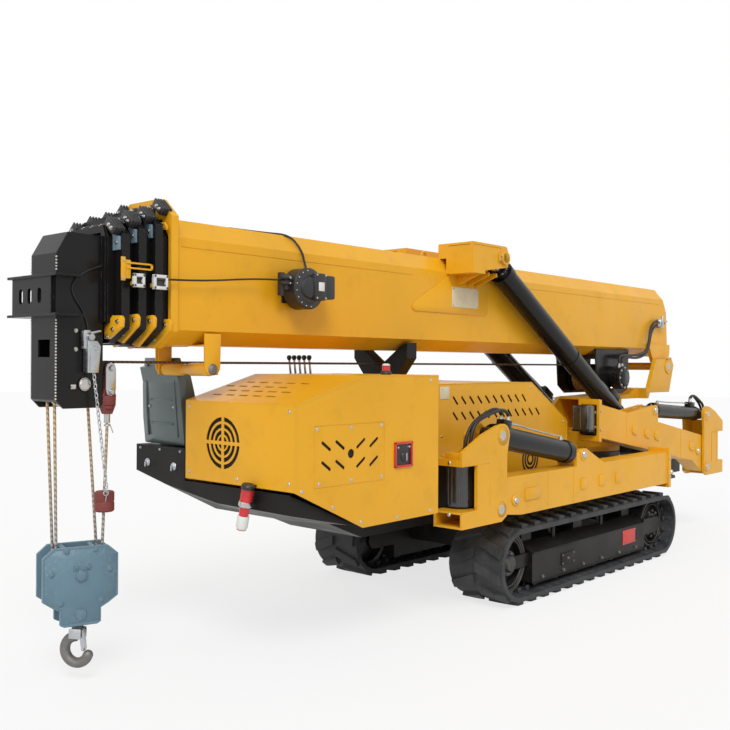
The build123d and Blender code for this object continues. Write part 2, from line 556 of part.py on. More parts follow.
# ---------------------------------------------------------------- winch and reel
def winch_frame():
    """Two plates and a shelf that hang the winch under the boom."""
    side_view = [(1660, 1640), (2260, 1640), (2240, 1300), (2150, 1262), (1800, 1262), (1690, 1330)]
    frame = prism("y", side_view, 176, 190) + prism("y", side_view, -190, -176)
    frame -= disc("y", WINCH, 41, -200, -100)
    frame += block((1660, 2260), (-90, 90), (1575, 1590)) + block((1660, 1700), (-190, 190), (1560, 1590))
    return frame + block((2220, 2260), (-190, 190), (1560, 1590))


def winch_drum():
    """Flanged drum between the plates, and the motor outside the near one."""
    drum = disc("y", WINCH, 92, -170, 176)
    drum += disc("y", WINCH, 125, -170, -158) + disc("y", WINCH, 125, 158, 170)
    motor = disc("y", WINCH, 40, -200, -168) + disc("y", WINCH, 95, -300, -190)
    return drum + motor


# ---------------------------------------------------------------- outriggers
def to_machine(shape, name, side):
    """Moves a shape from an outrigger's own frame (u, v, z) to the machine's."""
    row = OUTRIGGERS[name]
    post_x, post_y = row["post"]
    if row["along"] < 0:
        shape = mirror(shape, about=Plane.YZ)
    if side < 0:
        shape = mirror(shape, about=Plane.XZ)
    return Pos(post_x, side * post_y, 0) * shape


def knuckle(name):
    """Forked bracket that turns on the post and carries the arm and its cylinder."""
    row = OUTRIGGERS[name]
    (low_u, low_z), (up_u, up_z) = row["lower"], row["upper"]
    back, floor, (mouth_low, mouth_high) = row["back"], row["floor"], row["mouth"]
    inner_v = ARM_V - ARM_HALF_WIDTH - 5
    innermost_v = inner_v - KNUCKLE_PLATE
    edge_u = low_u + 56
    nose = [(low_u, floor), (edge_u, floor + 30), (edge_u, up_z - 120), (up_u + 72, up_z), (up_u, up_z + 70),
            (up_u - 60, up_z + 64)]
    shoulder = [(28, up_z + 19), (back, up_z - 76)]
    mouth = [(back, mouth_high), (KNUCKLE_MOUTH, mouth_high), (KNUCKLE_MOUTH, mouth_low), (back, mouth_low)]
    outer_plate = (KNUCKLE_OUTER_V - KNUCKLE_PLATE, KNUCKLE_OUTER_V)
    fork = prism("y", nose + shoulder + mouth + [(back, floor)], *outer_plate)
    fork += prism("y", nose + [(KNUCKLE_WEB, up_z), (KNUCKLE_WEB, floor)], innermost_v, inner_v)
    for plate in (outer_plate, (innermost_v, inner_v)):
        fork += disc("y", row["upper"], 72, *plate)
    # open box under the post, plate over it and the web that ties both
    box_end = KNUCKLE_WEB + 20
    fork += block((back, box_end), (innermost_v, KNUCKLE_OUTER_V), (floor, mouth_low))
    fork -= block((back - 1, KNUCKLE_WEB - 20), (innermost_v + 14, KNUCKLE_OUTER_V - 14),
                  (floor + 14, mouth_low - 14))
    fork += block((back, box_end), (innermost_v, KNUCKLE_OUTER_V), (mouth_high, mouth_high + 40))
    fork += block((KNUCKLE_WEB, box_end), (innermost_v, KNUCKLE_OUTER_V), (floor, up_z - 60))
    for pin in (row["lower"], row["upper"]):
        fork += disc("y", pin, PIN_RADIUS, innermost_v - 6, KNUCKLE_OUTER_V)
    return fork


def arm_middle(name, u):
    """Height of the arm's centre line at u."""
    row = OUTRIGGERS[name]
    return row["mid_z"] + (u - ARM_DATUM_U) * tan(radians(row["slope"]))


def arm_band(name, start, end, half, v_low, v_high):
    """Length of the arm's box between two u, half as deep as given on each side of the centre line."""
    lean = half / cos(radians(OUTRIGGERS[name]["slope"]))
    low, high = arm_middle(name, start), arm_middle(name, end)
    corners = [(start, low - lean), (end, high - lean), (end, high + lean), (start, low + lean)]
    return prism("y", corners, v_low, v_high)


def arm(name):
    """Hollow box arm: root lug with the lower pin's bore, rim round the open end, ears for the rod."""
    row = OUTRIGGERS[name]
    end_u = row["flange_u"]
    (low_u, low_z), (eye_u, eye_z) = row["lower"], row["bracket"]
    low_v, high_v = ARM_V - ARM_HALF_WIDTH, ARM_V + ARM_HALF_WIDTH
    lean = ARM_HALF_HEIGHT / cos(radians(row["slope"]))
    full_u = low_u + 260
    root = [(low_u - 45, low_z - 25), (low_u - 25, low_z - 40), (low_u + 45, low_z - 40),
            (full_u, arm_middle(name, full_u) - lean), (full_u, arm_middle(name, full_u) + lean),
            (low_u - 45, arm_middle(name, low_u - 45) + lean)]
    body = prism("y", root, low_v, high_v) + arm_band(name, full_u, end_u, ARM_HALF_HEIGHT, low_v, high_v)
    body += arm_band(name, end_u - 40, end_u, ARM_HALF_HEIGHT + ARM_FLANGE_RIM, low_v - 12, high_v + 12)
    body -= arm_band(name, low_u + ARM_HOLLOW_START, end_u + 1, ARM_HALF_HEIGHT - ARM_WALL, low_v + ARM_WALL,
                     high_v - ARM_WALL)
    body -= disc("y", row["lower"], PIN_RADIUS + PIN_GAP, low_v - 5, high_v + 5)

    def seat(u):
        return arm_middle(name, u) + lean - 6

    near_u, far_u = eye_u - row["ear"][0], eye_u + row["ear"][1]
    ear = [(near_u, seat(near_u)), (near_u, eye_z + 10), (eye_u - 40, eye_z + 42), (eye_u + 40, eye_z + 38),
           (far_u, max(seat(far_u), eye_z + 20 - row["ear"][1] / 3)), (far_u, seat(far_u))]
    for v_low, v_high, boss_v in ((low_v, low_v + 24, low_v + 42), (high_v - 24, high_v, high_v - 42)):
        body += prism("y", ear, v_low, v_high)
        body += disc("y", row["bracket"], 22, min(v_low, boss_v), max(v_high, boss_v))
    return body


def leg(name):
    """Inner box of the arm with its foot at the end."""
    row = OUTRIGGERS[name]
    end = row["flange_u"] + 30
    across = (ARM_V - LEG_HALF_WIDTH, ARM_V + LEG_HALF_WIDTH)
    body = arm_band(name, end - LEG_LENGTH, end, LEG_HALF_HEIGHT, *across)
    centre = arm_middle(name, end + 50)
    cheek = [(end - 10, centre - 80), (end + 60, centre - 80), (end + 85, centre - 50),
             (end + 60, centre - 10),
             (end - 10, centre + 60)]
    for v in (ARM_V - 50, ARM_V + 30):
        body += prism("y", cheek, v, v + 20)
    body += disc("y", (end + 50, centre - 48), 16, ARM_V - 55, ARM_V + 55)
    body += block((end + 10, end + 95), (ARM_V - 68, ARM_V + 68), (centre - 96, centre - 76))
    return body


def along(start, end, distance):
    """Point on the line from start to end, at a distance from start."""
    length = hypot(end[0] - start[0], end[1] - start[1])
    share = distance / length
    return (start[0] + (end[0] - start[0]) * share, start[1] + (end[1] - start[1]) * share)


def cylinder_barrel(start, end, y, radius, bore, eye_radius, eye_half, pin_radius, clear):
    """Cylinder tube from its eye at start towards end, stopping short of the far eye by clear."""
    length = hypot(end[0] - start[0], end[1] - start[1])
    first, last = along(start, end, eye_radius * 0.6), along(start, end, length - clear)
    gland = along(start, end, length - clear - 60)
    tube = bar((first[0], y, first[1]), (last[0], y, last[1]), radius)
    tube += bar((gland[0], y, gland[1]), (last[0], y, last[1]), radius + 6)
    tube += disc("y", start, eye_radius, y - eye_half, y + eye_half)
    deep, out = along(start, end, eye_radius + 60), along(start, end, length)
    tube -= bar((deep[0], y, deep[1]), (out[0], y, out[1]), bore)
    return tube - disc("y", start, pin_radius + PIN_GAP, y - 200, y + 200)


def cylinder_rod(start, end, y, radius, eye_radius, eye_half, stroke):
    """Rod with its eye at end; the eye's middle is filled because its pin's ends are on the bracket."""
    length = hypot(end[0] - start[0], end[1] - start[1])
    inner = along(start, end, length - stroke - 220)
    rod = bar((inner[0], y, inner[1]), (end[0], y, end[1]), radius)
    return rod + disc("y", end, eye_radius, y - eye_half, y + eye_half)


# ---------------------------------------------------------------- small fittings
def beacons():
    """Warning lamps: one on the engine cover and one under the nose."""
    top = disc("z", (-1390, -500), 26, 1442.5, 1462) + disc("z", (-1390, -500), 22, 1462, 1498)
    upper, middle, lower = (-2410, -500, 905), (-2410, -480, 819), (-2410, -450, 690)
    return top, bar(upper, middle, 30) + bar(middle, lower, 24)


def cable_reel():
    """Spring reel of the overload cable on the boom's near side."""
    reel = disc("y", (-1840, 1908), 112, -332, -240) + disc("y", (-1840, 1908), 40, -250, -212)
    return reel + block((-1930, -1750), (-218, -BOOM_HALF_WIDTH), (1830, 1990))


# ---------------------------------------------------------------- build
def build():
    """Writes every node."""
    os.makedirs("parts", exist_ok=True)
    save("chassis_frame", chassis_frame())
    save("front_deck", front_deck())
    for name, shape in zip(("track_left", "track_right"), both_sides(track())):
        save(name, shape)
    save("track_frames", *both_sides(track_frame()))
    save("track_wheels", *[copy for wheel in track_wheels() for copy in both_sides(wheel)])
    save("engine_cover", engine_cover())
    save("engine_block", block((-1940, -1350), (-640, -90), (710, 1280)))
    save("tank_cover", tank_cover())
    save("boom_rest", boom_rest())
    save("operator_seat", operator_seat())
    save("lever_bank", lever_bank())
    save("beacons", *beacons())
    save("slew_ring", disc("z", (SLEW_X, 0), RING_RADIUS, RING_BOTTOM, RING_TOP))
    save("turret", turret())
    save("boom_base", boom_base())
    save("winch_frame", winch_frame())
    save("winch_drum", winch_drum())
    save("cable_reel", cable_reel())
    for index in (2, 3, 4, 5):
        save(f"boom_section_{index}", boom_section(index))
    save("boom_head", boom_head())
    save("head_sheaves", head_sheaves())
    save("rope_socket", rope_socket())
    save("hook_block", hook_block())
    save("block_sheaves", *block_sheaves())
    save("hook", hook())
    save("hoist_falls", *hoist_falls())
    save("lift_barrels", *both_sides(cylinder_barrel(
        LIFT_LOWER, LIFT_UPPER, LIFT_Y, LIFT_BARREL_RADIUS, LIFT_ROD_RADIUS + 1, LIFT_EYE_RADIUS,
        LIFT_EYE_HALF, 40, 150)))
    save("lift_rods", *both_sides(cylinder_rod(
        LIFT_LOWER, LIFT_UPPER, LIFT_Y, LIFT_ROD_RADIUS, LIFT_EYE_RADIUS - 6, LIFT_EYE_HALF, 1373)))
    for name, row in OUTRIGGERS.items():
        pieces = {
            "knuckle": knuckle(name), "arm": arm(name), "leg": leg(name),
            "barrel": cylinder_barrel(row["upper"], row["bracket"], ARM_V, row["barrel"], TILT_ROD_RADIUS + 1,
                                      48, 40, PIN_RADIUS, 106),
            "rod": cylinder_rod(row["upper"], row["bracket"], ARM_V, TILT_ROD_RADIUS, 36, 26, 210),
        }
        for side_name, side in SIDES.items():
            for piece, shape in pieces.items():
                save(f"{name}_{side_name}_{piece}", to_machine(shape, name, side))


build()
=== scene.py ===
"""Finish, fittings and studio for the tracked spider crane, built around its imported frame.

Lengths are metres from the machine's datum on the floor. +X runs from the boom head to the boom's pivot,
+Y to the far side, where the seat is, and +Z up.
"""

import math

import bmesh
import bpy
from mathutils import Matrix, Vector


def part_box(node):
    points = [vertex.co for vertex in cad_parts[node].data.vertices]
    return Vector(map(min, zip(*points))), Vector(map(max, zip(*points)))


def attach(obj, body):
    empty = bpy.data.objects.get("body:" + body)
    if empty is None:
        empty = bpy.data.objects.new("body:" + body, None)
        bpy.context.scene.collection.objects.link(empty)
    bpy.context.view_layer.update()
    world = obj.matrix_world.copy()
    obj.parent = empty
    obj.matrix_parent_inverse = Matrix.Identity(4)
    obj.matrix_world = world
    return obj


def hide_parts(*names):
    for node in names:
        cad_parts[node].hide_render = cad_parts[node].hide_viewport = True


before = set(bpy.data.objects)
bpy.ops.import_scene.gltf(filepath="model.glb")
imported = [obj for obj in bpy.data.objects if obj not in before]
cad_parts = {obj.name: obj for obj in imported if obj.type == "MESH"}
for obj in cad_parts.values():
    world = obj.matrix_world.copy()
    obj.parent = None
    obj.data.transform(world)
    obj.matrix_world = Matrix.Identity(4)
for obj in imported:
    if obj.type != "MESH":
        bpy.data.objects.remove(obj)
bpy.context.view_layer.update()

bl_info = {
    "name": "Tracked Spider Crane",
    "version": (1, 0, 0),
    "blender": (4, 5, 0),
    "location": "3D View > Sidebar > Crane",
    "description": "Dresses the crane's frame with paint, rigging, hoses, bolts and a studio",
    "category": "Object",
}

SIDES = {"left": 1, "right": -1}


# ---------------------------------------------------------------- settings
class CraneSettings(bpy.types.PropertyGroup):
    """Sizes and colours that a user may change before the pieces are made."""

    yellow: bpy.props.FloatVectorProperty(
        name="Yellow paint", description="Colour of the boom, covers and outriggers",
        default=(0.78, 0.385, 0.011), subtype="COLOR", min=0, max=1)
    black: bpy.props.FloatVectorProperty(
        name="Black paint", description="Colour of the inner boom sections and cylinders",
        default=(0.009, 0.0082, 0.008), subtype="COLOR", min=0, max=1)
    carrier: bpy.props.FloatVectorProperty(
        name="Carrier paint", description="Colour of the main frame and the track frames",
        default=(0.010, 0.0088, 0.008), subtype="COLOR", min=0, max=1)
    block: bpy.props.FloatVectorProperty(
        name="Hook block paint", description="Colour of the hook block's cheeks",
        default=(0.125, 0.215, 0.275), subtype="COLOR", min=0, max=1)
    edge: bpy.props.FloatProperty(
        name="Edge radius", description="Radius that sheet and plate edges appear rounded to",
        default=0.004, min=0.0005, max=0.02, unit="LENGTH")
    hose: bpy.props.FloatProperty(
        name="Hose radius", description="Outer radius of the hydraulic hoses",
        default=0.011, min=0.004, max=0.03, unit="LENGTH")
    wire: bpy.props.FloatProperty(
        name="Wire radius", description="Outer radius of the overload cable along the boom",
        default=0.005, min=0.002, max=0.01, unit="LENGTH")


def settings():
    """The scene's crane settings."""
    return bpy.context.scene.crane


# ---------------------------------------------------------------- places on the machine
BOOM_FRONT = -2.670
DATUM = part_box("boom_base")[0].x - BOOM_FRONT
BOOM_SIDE = 0.210
BOOM_SKIN = 0.2095
BOOM_PIVOT = (2.865, 1.497)
LIFT_LOWER, LIFT_UPPER = (1.860, 1.045), (-0.085, 2.223)
WINCH = (1.960, 1.400)
ROPE_GUIDE = (-2.400, 1.468)
# directions that fittings face: up, to the boom head, to the near side, and across to the far side
UP, FORWARD, NEARWARD, ACROSS = (0, 0, 1), (-1, 0, 0), (0, -1, 0), (0, 1, 0)


# ---------------------------------------------------------------- shapes
def join(target, part, finish=0, place=None):
    """Adds one closed shape to a piece, in one of its finishes, moved by a matrix where one is given."""
    if place is not None:
        placed(part, place)
    for face in part.faces:
        face.material_index = finish
    mesh = bpy.data.meshes.new("part")
    part.to_mesh(mesh)
    part.free()
    target.from_mesh(mesh)
    bpy.data.meshes.remove(mesh)


def placed(part, matrix):
    """The same shape moved by a matrix; a mirroring matrix keeps its faces outward."""
    bmesh.ops.transform(part, matrix=matrix, verts=part.verts)
    if matrix.determinant() < 0:
        bmesh.ops.reverse_faces(part, faces=part.faces)
    return part


def soften(part, width, segments=2, sharper_than=0.6):
    """Bevels the edges that turn by more than an angle, given in radians."""
    edges = [edge for edge in part.edges if edge.is_manifold and edge.calc_face_angle(0) > sharper_than]
    bmesh.ops.bevel(part, geom=edges, offset=width, offset_type="OFFSET", affect="EDGES", segments=segments,
                    profile=0.5, material=-1, clamp_overlap=True)
    return part


def facing(direction, origin):
    """Matrix that turns +Z to a direction and moves to an origin."""
    return Matrix.Translation(origin) @ Vector(direction).to_track_quat("Z", "Y").to_matrix().to_4x4()


def box(corner, opposite, bevel=0.002):
    """Box between two opposite corners, in either order, with softened edges."""
    part = bmesh.new()
    bmesh.ops.create_cube(part, size=1.0)
    low = Vector([min(pair) for pair in zip(corner, opposite)])
    high = Vector([max(pair) for pair in zip(corner, opposite)])
    size = high - low
    bmesh.ops.scale(part, vec=size, verts=part.verts)
    bmesh.ops.translate(part, vec=(low + high) / 2, verts=part.verts)
    return soften(part, min(bevel, min(size) * 0.4))


def rod(start, end, radius, sides=24, bevel=0.001, end_radius=None):
    """Round or tapered bar between two points."""
    start, end = Vector(start), Vector(end)
    part = bmesh.new()
    bmesh.ops.create_cone(part, cap_ends=True, segments=sides, radius1=radius,
                          radius2=radius if end_radius is None else end_radius, depth=(end - start).length)
    if bevel:
        soften(part, bevel, 2, 0.9)
    bmesh.ops.transform(part, matrix=facing(end - start, (start + end) / 2), verts=part.verts)
    return part


def plate(outline, low, high, axis="y", bevel=0.002):
    """Plate with a flat outline: axis 'x' takes (y, z) points, 'y' takes (x, z), 'z' takes (x, y)."""
    part = bmesh.new()
    order = {"x": (2, 0, 1), "y": (0, 2, 1), "z": (0, 1, 2)}[axis]
    corners = []
    for first, second in outline:
        values = (first, second, low)
        corners.append(part.verts.new([values[index] for index in order]))
    face = part.faces.new(corners)
    grown = bmesh.ops.extrude_face_region(part, geom=[face])
    moved = [item for item in grown["geom"] if isinstance(item, bmesh.types.BMVert)]
    push = Vector((0, 0, 0))
    push["xyz".index(axis)] = high - low
    bmesh.ops.translate(part, vec=push, verts=moved)
    bmesh.ops.recalc_face_normals(part, faces=part.faces)
    return soften(part, min(bevel, abs(high - low) * 0.4))


def turned(profile, origin, direction, steps=32):
    """Closed shape turned about an axis from (radius, distance along it) points; ends lie on the axis."""
    part = bmesh.new()
    corners = [part.verts.new((radius, 0, height)) for radius, height in profile]
    edges = [part.edges.new(pair) for pair in zip(corners, corners[1:])]
    bmesh.ops.spin(part, geom=corners + edges, cent=(0, 0, 0), axis=(0, 0, 1), dvec=(0, 0, 0),
                   angle=2 * math.pi, steps=steps, use_merge=True, use_duplicate=False)
    bmesh.ops.remove_doubles(part, verts=part.verts, dist=1e-6)
    bmesh.ops.recalc_face_normals(part, faces=part.faces)
    bmesh.ops.transform(part, matrix=facing(direction, origin), verts=part.verts)
    return part


def boss(outline, origin, direction, steps=32):
    """Solid cap, pin, nut or fitting turned about an axis; its outline's ends are closed to the axis."""
    (_, first), (_, last) = outline[0], outline[-1]
    return turned([(0, first), *outline, (0, last)], origin, direction, steps)


def sleeve(outline, origin, direction, steps=40):
    """Hollow collar, gland or band turned about an axis; its outline is closed on itself."""
    return turned([*outline, outline[0]], origin, direction, steps)


def ring(origin, direction, radius, thickness, steps=32, sides=10):
    """Round ring about an axis."""
    part = bmesh.new()
    made = bmesh.ops.create_circle(part, cap_ends=False, radius=thickness, segments=sides)
    bmesh.ops.rotate(part, cent=(0, 0, 0), matrix=Matrix.Rotation(math.pi / 2, 3, "X"), verts=made["verts"])
    bmesh.ops.translate(part, vec=(radius, 0, 0), verts=made["verts"])
    bmesh.ops.spin(part, geom=part.verts[:] + part.edges[:], cent=(0, 0, 0), axis=(0, 0, 1), dvec=(0, 0, 0),
                   angle=2 * math.pi, steps=steps, use_merge=True, use_duplicate=False)
    bmesh.ops.remove_doubles(part, verts=part.verts, dist=1e-6)
    bmesh.ops.recalc_face_normals(part, faces=part.faces)
    bmesh.ops.transform(part, matrix=facing(direction, origin), verts=part.verts)
    return part


def bolt(origin, direction, radius):
    """Hexagon bolt head on its washer, standing on a surface."""
    direction = Vector(direction).normalized()
    origin = Vector(origin)
    part = rod(origin, origin + direction * radius * 0.25, radius * 1.25, 16, 0)
    join(part, rod(origin + direction * radius * 0.25, origin + direction * radius, radius, 6,
                   radius * 0.12))
    return part


def pipe(points, radius, resolution=3):
    """Round hose through smooth control points."""
    curve = bpy.data.curves.new("pipe", "CURVE")
    curve.dimensions = "3D"
    spline = curve.splines.new("NURBS")
    spline.points.add(len(points) - 1)
    for point, place in zip(spline.points, points):
        point.co = (*place, 1.0)
    spline.order_u = 3
    spline.use_endpoint_u = True
    spline.resolution_u = 6
    curve.bevel_depth = radius
    curve.bevel_resolution = resolution
    curve.use_fill_caps = True
    holder = bpy.data.objects.new("pipe", curve)
    mesh = bpy.data.meshes.new_from_object(holder)
    part = bmesh.new()
    part.from_mesh(mesh)
    bmesh.ops.remove_doubles(part, verts=part.verts, dist=1e-6)
    bpy.data.objects.remove(holder)
    bpy.data.curves.remove(curve)
    bpy.data.meshes.remove(mesh)
    return part


def piece(name, parts, body, finishes):
    """Object made from lengths measured from the machine's datum, that rides on a body."""
    bmesh.ops.translate(parts, vec=(DATUM, 0, 0), verts=parts.verts)
    mesh = bpy.data.meshes.new(name)
    parts.to_mesh(mesh)
    parts.free()
    for finish in finishes:
        mesh.materials.append(FINISHES[finish])
    mesh.shade_smooth()
    mesh.set_sharp_from_angle(angle=math.radians(32))
    made = bpy.data.objects.new(name, mesh)
    bpy.context.scene.collection.objects.link(made)
    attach(made, body)
    return made


# ---------------------------------------------------------------- node helpers
def shader(name):
    """New material, its node tree, its Principled shader and the places on the object's surface."""
    material = bpy.data.materials.new(name)
    material.use_nodes = True
    tree = material.node_tree
    return material, tree, tree.nodes["Principled BSDF"], node(tree, "ShaderNodeTexCoord").outputs["Object"]


def fill(tree, made, inputs):
    """Links a node's inputs where they are given a socket, and sets the others."""
    for key, value in inputs.items():
        if isinstance(value, bpy.types.NodeSocket):
            tree.links.new(value, made.inputs[key])
        else:
            made.inputs[key].default_value = value


def node(tree, kind, inputs=None, **values):
    """New node with its properties and its linked or set inputs."""
    made = tree.nodes.new(kind)
    for key, value in values.items():
        setattr(made, key, value)
    fill(tree, made, inputs or {})
    return made


def noise(tree, place, scale, detail=3.0, roughness=0.5):
    """Noise factor at a place."""
    made = node(tree, "ShaderNodeTexNoise",
                {"Vector": place, "Scale": scale, "Detail": detail, "Roughness": roughness})
    return made.outputs["Fac"]


def remap(tree, value, low, high, to_low=0.0, to_high=1.0):
    """Value mapped from one range to another, and held inside it."""
    made = node(tree, "ShaderNodeMapRange",
                {"Value": value, "From Min": low, "From Max": high, "To Min": to_low, "To Max": to_high})
    return made.outputs["Result"]


def math_node(tree, operation, first, second):
    """Result of one arithmetic step."""
    made = node(tree, "ShaderNodeMath", {0: first, 1: second}, operation=operation)
    return made.outputs[0]


def mix(tree, factor, first, second):
    """Two colours mixed by a factor."""
    made = node(tree, "ShaderNodeMix", data_type="RGBA")
    fill(tree, made, {0: factor, 6: first, 7: second})
    return made.outputs[2]


def tone(colour, scale=1.0):
    """Colour with alpha, made lighter or darker."""
    return (colour[0] * scale, colour[1] * scale, colour[2] * scale, 1.0)


def edge_mask(tree, radius):
    """Rounded normal, and a mask that is 1 on outer edges and corners."""
    rounded = node(tree, "ShaderNodeBevel", {"Radius": radius}, samples=4)
    true_normal = node(tree, "ShaderNodeNewGeometry").outputs["Normal"]
    product = node(tree, "ShaderNodeVectorMath", {0: rounded.outputs[0], 1: true_normal},
                   operation="DOT_PRODUCT")
    return rounded.outputs[0], remap(tree, product.outputs["Value"], 0.995, 0.9)


def bumped(tree, height, distance, strength=1.0, normal=None):
    """Normal with a height pattern on it."""
    inputs = {"Height": height, "Distance": distance, "Strength": strength}
    if normal is not None:
        inputs["Normal"] = normal
    return node(tree, "ShaderNodeBump", inputs).outputs["Normal"]


# ---------------------------------------------------------------- materials
DUST_BROWN = (0.16, 0.125, 0.09, 1)


def paint(name, colour, roughness, wear, dust=0.35, coat=0.08, shine=0.3, peel=0.0006):
    """Sprayed paint: drifting tone, orange peel, worn edges, and dust that thickens near the ground."""
    material, tree, principled, place = shader(name)
    rounded, edges = edge_mask(tree, settings().edge)
    drift = remap(tree, noise(tree, place, 1.3, 2.0), 0.3, 0.7)
    base = mix(tree, drift, tone(colour, 0.93), tone(colour, 1.06))
    stain = remap(tree, noise(tree, place, 6.0, 5.0, 0.65), 0.52, 0.75, 0.0, 0.35)
    base = mix(tree, stain, base, tone(colour, 0.72))
    height = node(tree, "ShaderNodeSeparateXYZ", {0: place}).outputs["Z"]
    low = remap(tree, height, 0.9, 0.05, 0.0, dust)
    grain = remap(tree, noise(tree, place, 14.0, 6.0, 0.7), 0.35, 0.75)
    dirt = math_node(tree, "MULTIPLY", low, grain)
    base = mix(tree, dirt, base, DUST_BROWN)
    chips = remap(tree, noise(tree, place, 55.0, 4.0, 0.6), 0.52, 0.66)
    base = mix(tree, math_node(tree, "MULTIPLY", edges, chips), base, tone(wear))
    smear = remap(tree, noise(tree, place, 3.5, 5.0, 0.6), 0.3, 0.8, roughness * 0.8, roughness * 1.5)
    skin = noise(tree, place, 260.0, 2.0)
    fill(tree, principled, {
        "Base Color": base,
        "Roughness": math_node(tree, "ADD", smear, math_node(tree, "MULTIPLY", dirt, 0.5)),
        "Normal": bumped(tree, skin, peel, 0.35, rounded),
        "Coat Weight": coat, "Coat Roughness": 0.18, "Specular IOR Level": shine})
    return material


def metal(name, colour, roughness, grain_scale=90.0, tarnish=0.35, metallic=1.0):
    """Bare or plated metal with fine scratches and duller patches."""
    material, tree, principled, place = shader(name)
    rounded, _ = edge_mask(tree, 0.001)
    patches = remap(tree, noise(tree, place, 9.0, 6.0, 0.65), 0.4, 0.75, 0.0, tarnish)
    fill(tree, principled, {
        "Base Color": mix(tree, patches, tone(colour), tone(colour, 0.45)),
        "Roughness": remap(tree, noise(tree, place, 30.0, 4.0), 0.3, 0.7, roughness * 0.75, roughness * 1.4),
        "Normal": bumped(tree, noise(tree, place, grain_scale, 4.0, 0.7), 0.0004, 0.4, rounded),
        "Metallic": metallic})
    return material


def rubber(name, colour, dusty, roughness=0.75, grain=140.0):
    """Moulded rubber, greyer where dust lies."""
    material, tree, principled, place = shader(name)
    rounded, edges = edge_mask(tree, 0.003)
    patches = remap(tree, noise(tree, place, 7.0, 6.0, 0.7), 0.35, 0.75, 0.0, 0.8)
    base = mix(tree, patches, tone(colour), tone(dusty))
    fill(tree, principled, {
        "Base Color": mix(tree, math_node(tree, "MULTIPLY", edges, 0.5), base, tone(dusty, 1.3)),
        "Roughness": remap(tree, patches, 0.0, 0.8, roughness * 0.8, min(1.0, roughness * 1.2)),
        "Normal": bumped(tree, noise(tree, place, grain, 3.0, 0.6), 0.0008, 0.5, rounded),
        "Specular IOR Level": 0.35})
    return material


def rope_steel(name):
    """Greased wire rope: strands wind up the falls, browner between them, and darkened at the head with
    painted shade.
    """
    material, tree, principled, place = shader(name)
    axes = node(tree, "ShaderNodeSeparateXYZ", {0: place})
    across = math_node(tree, "ADD", axes.outputs["X"], axes.outputs["Y"])
    lay = math_node(tree, "ADD", math_node(tree, "MULTIPLY", axes.outputs["Z"], 260.0),
                    math_node(tree, "MULTIPLY", across, 210.0))
    strands = node(tree, "ShaderNodeMath", {0: lay}, operation="SINE").outputs[0]
    groove = remap(tree, strands, -1.0, 1.0)
    height = remap(tree, axes.outputs["Z"], 0.60, 1.30)
    # painted shade: from 1.42 m up the rope turns dark brown, where it runs in under the head's cheeks and
    # under the boom
    high = remap(tree, axes.outputs["Z"], 1.42, 1.47)
    groove_tone = mix(tree, height, (0.20, 0.19, 0.18, 1), (0.36, 0.25, 0.13, 1))
    bright = mix(tree, height, (0.42, 0.40, 0.38, 1), (0.62, 0.47, 0.28, 1))
    groove_tone = mix(tree, high, groove_tone, (0.075, 0.045, 0.030, 1))
    bright = mix(tree, high, bright, (0.17, 0.105, 0.070, 1))
    fill(tree, principled, {
        "Base Color": mix(tree, groove, groove_tone, bright),
        "Roughness": remap(tree, groove, 0.0, 1.0, 0.65, 0.4),
        "Normal": bumped(tree, groove, 0.002, 0.9), "Metallic": 0.6})
    return material


def plastic(name, colour, roughness, transmission=0.0, grain=0.0003, coat=0.0):
    """Moulded plastic with a fine skin and faint smears."""
    material, tree, principled, place = shader(name)
    rounded, _ = edge_mask(tree, 0.002)
    smear = remap(tree, noise(tree, place, 11.0, 5.0, 0.6), 0.35, 0.7)
    fill(tree, principled, {
        "Base Color": mix(tree, smear, tone(colour, 0.88), tone(colour, 1.08)),
        "Roughness": remap(tree, smear, 0.0, 1.0, roughness * 0.8, roughness * 1.3),
        "Normal": bumped(tree, noise(tree, place, 300.0, 2.0), grain, 0.3, rounded),
        "Transmission Weight": transmission, "Coat Weight": coat, "Coat Roughness": 0.12})
    return material


def film(name, colour):
    """Stretch film over paint: near-mirror skin with tight upright wrinkles."""
    material, tree, principled, place = shader(name)
    upright = node(tree, "ShaderNodeVectorMath", {0: place, 1: (1.0, 1.0, 0.16)}, operation="MULTIPLY")
    folds = noise(tree, upright.outputs[0], 34.0, 4.0, 0.6)
    fill(tree, principled, {
        "Base Color": mix(tree, remap(tree, folds, 0.35, 0.7), tone(colour), tone(colour, 2.2)),
        "Roughness": remap(tree, noise(tree, place, 12.0, 3.0), 0.3, 0.7, 0.04, 0.16),
        "Normal": bumped(tree, folds, 0.008, 0.8), "Coat Weight": 0.8, "Coat Roughness": 0.06})
    return material


FINISHES = {}


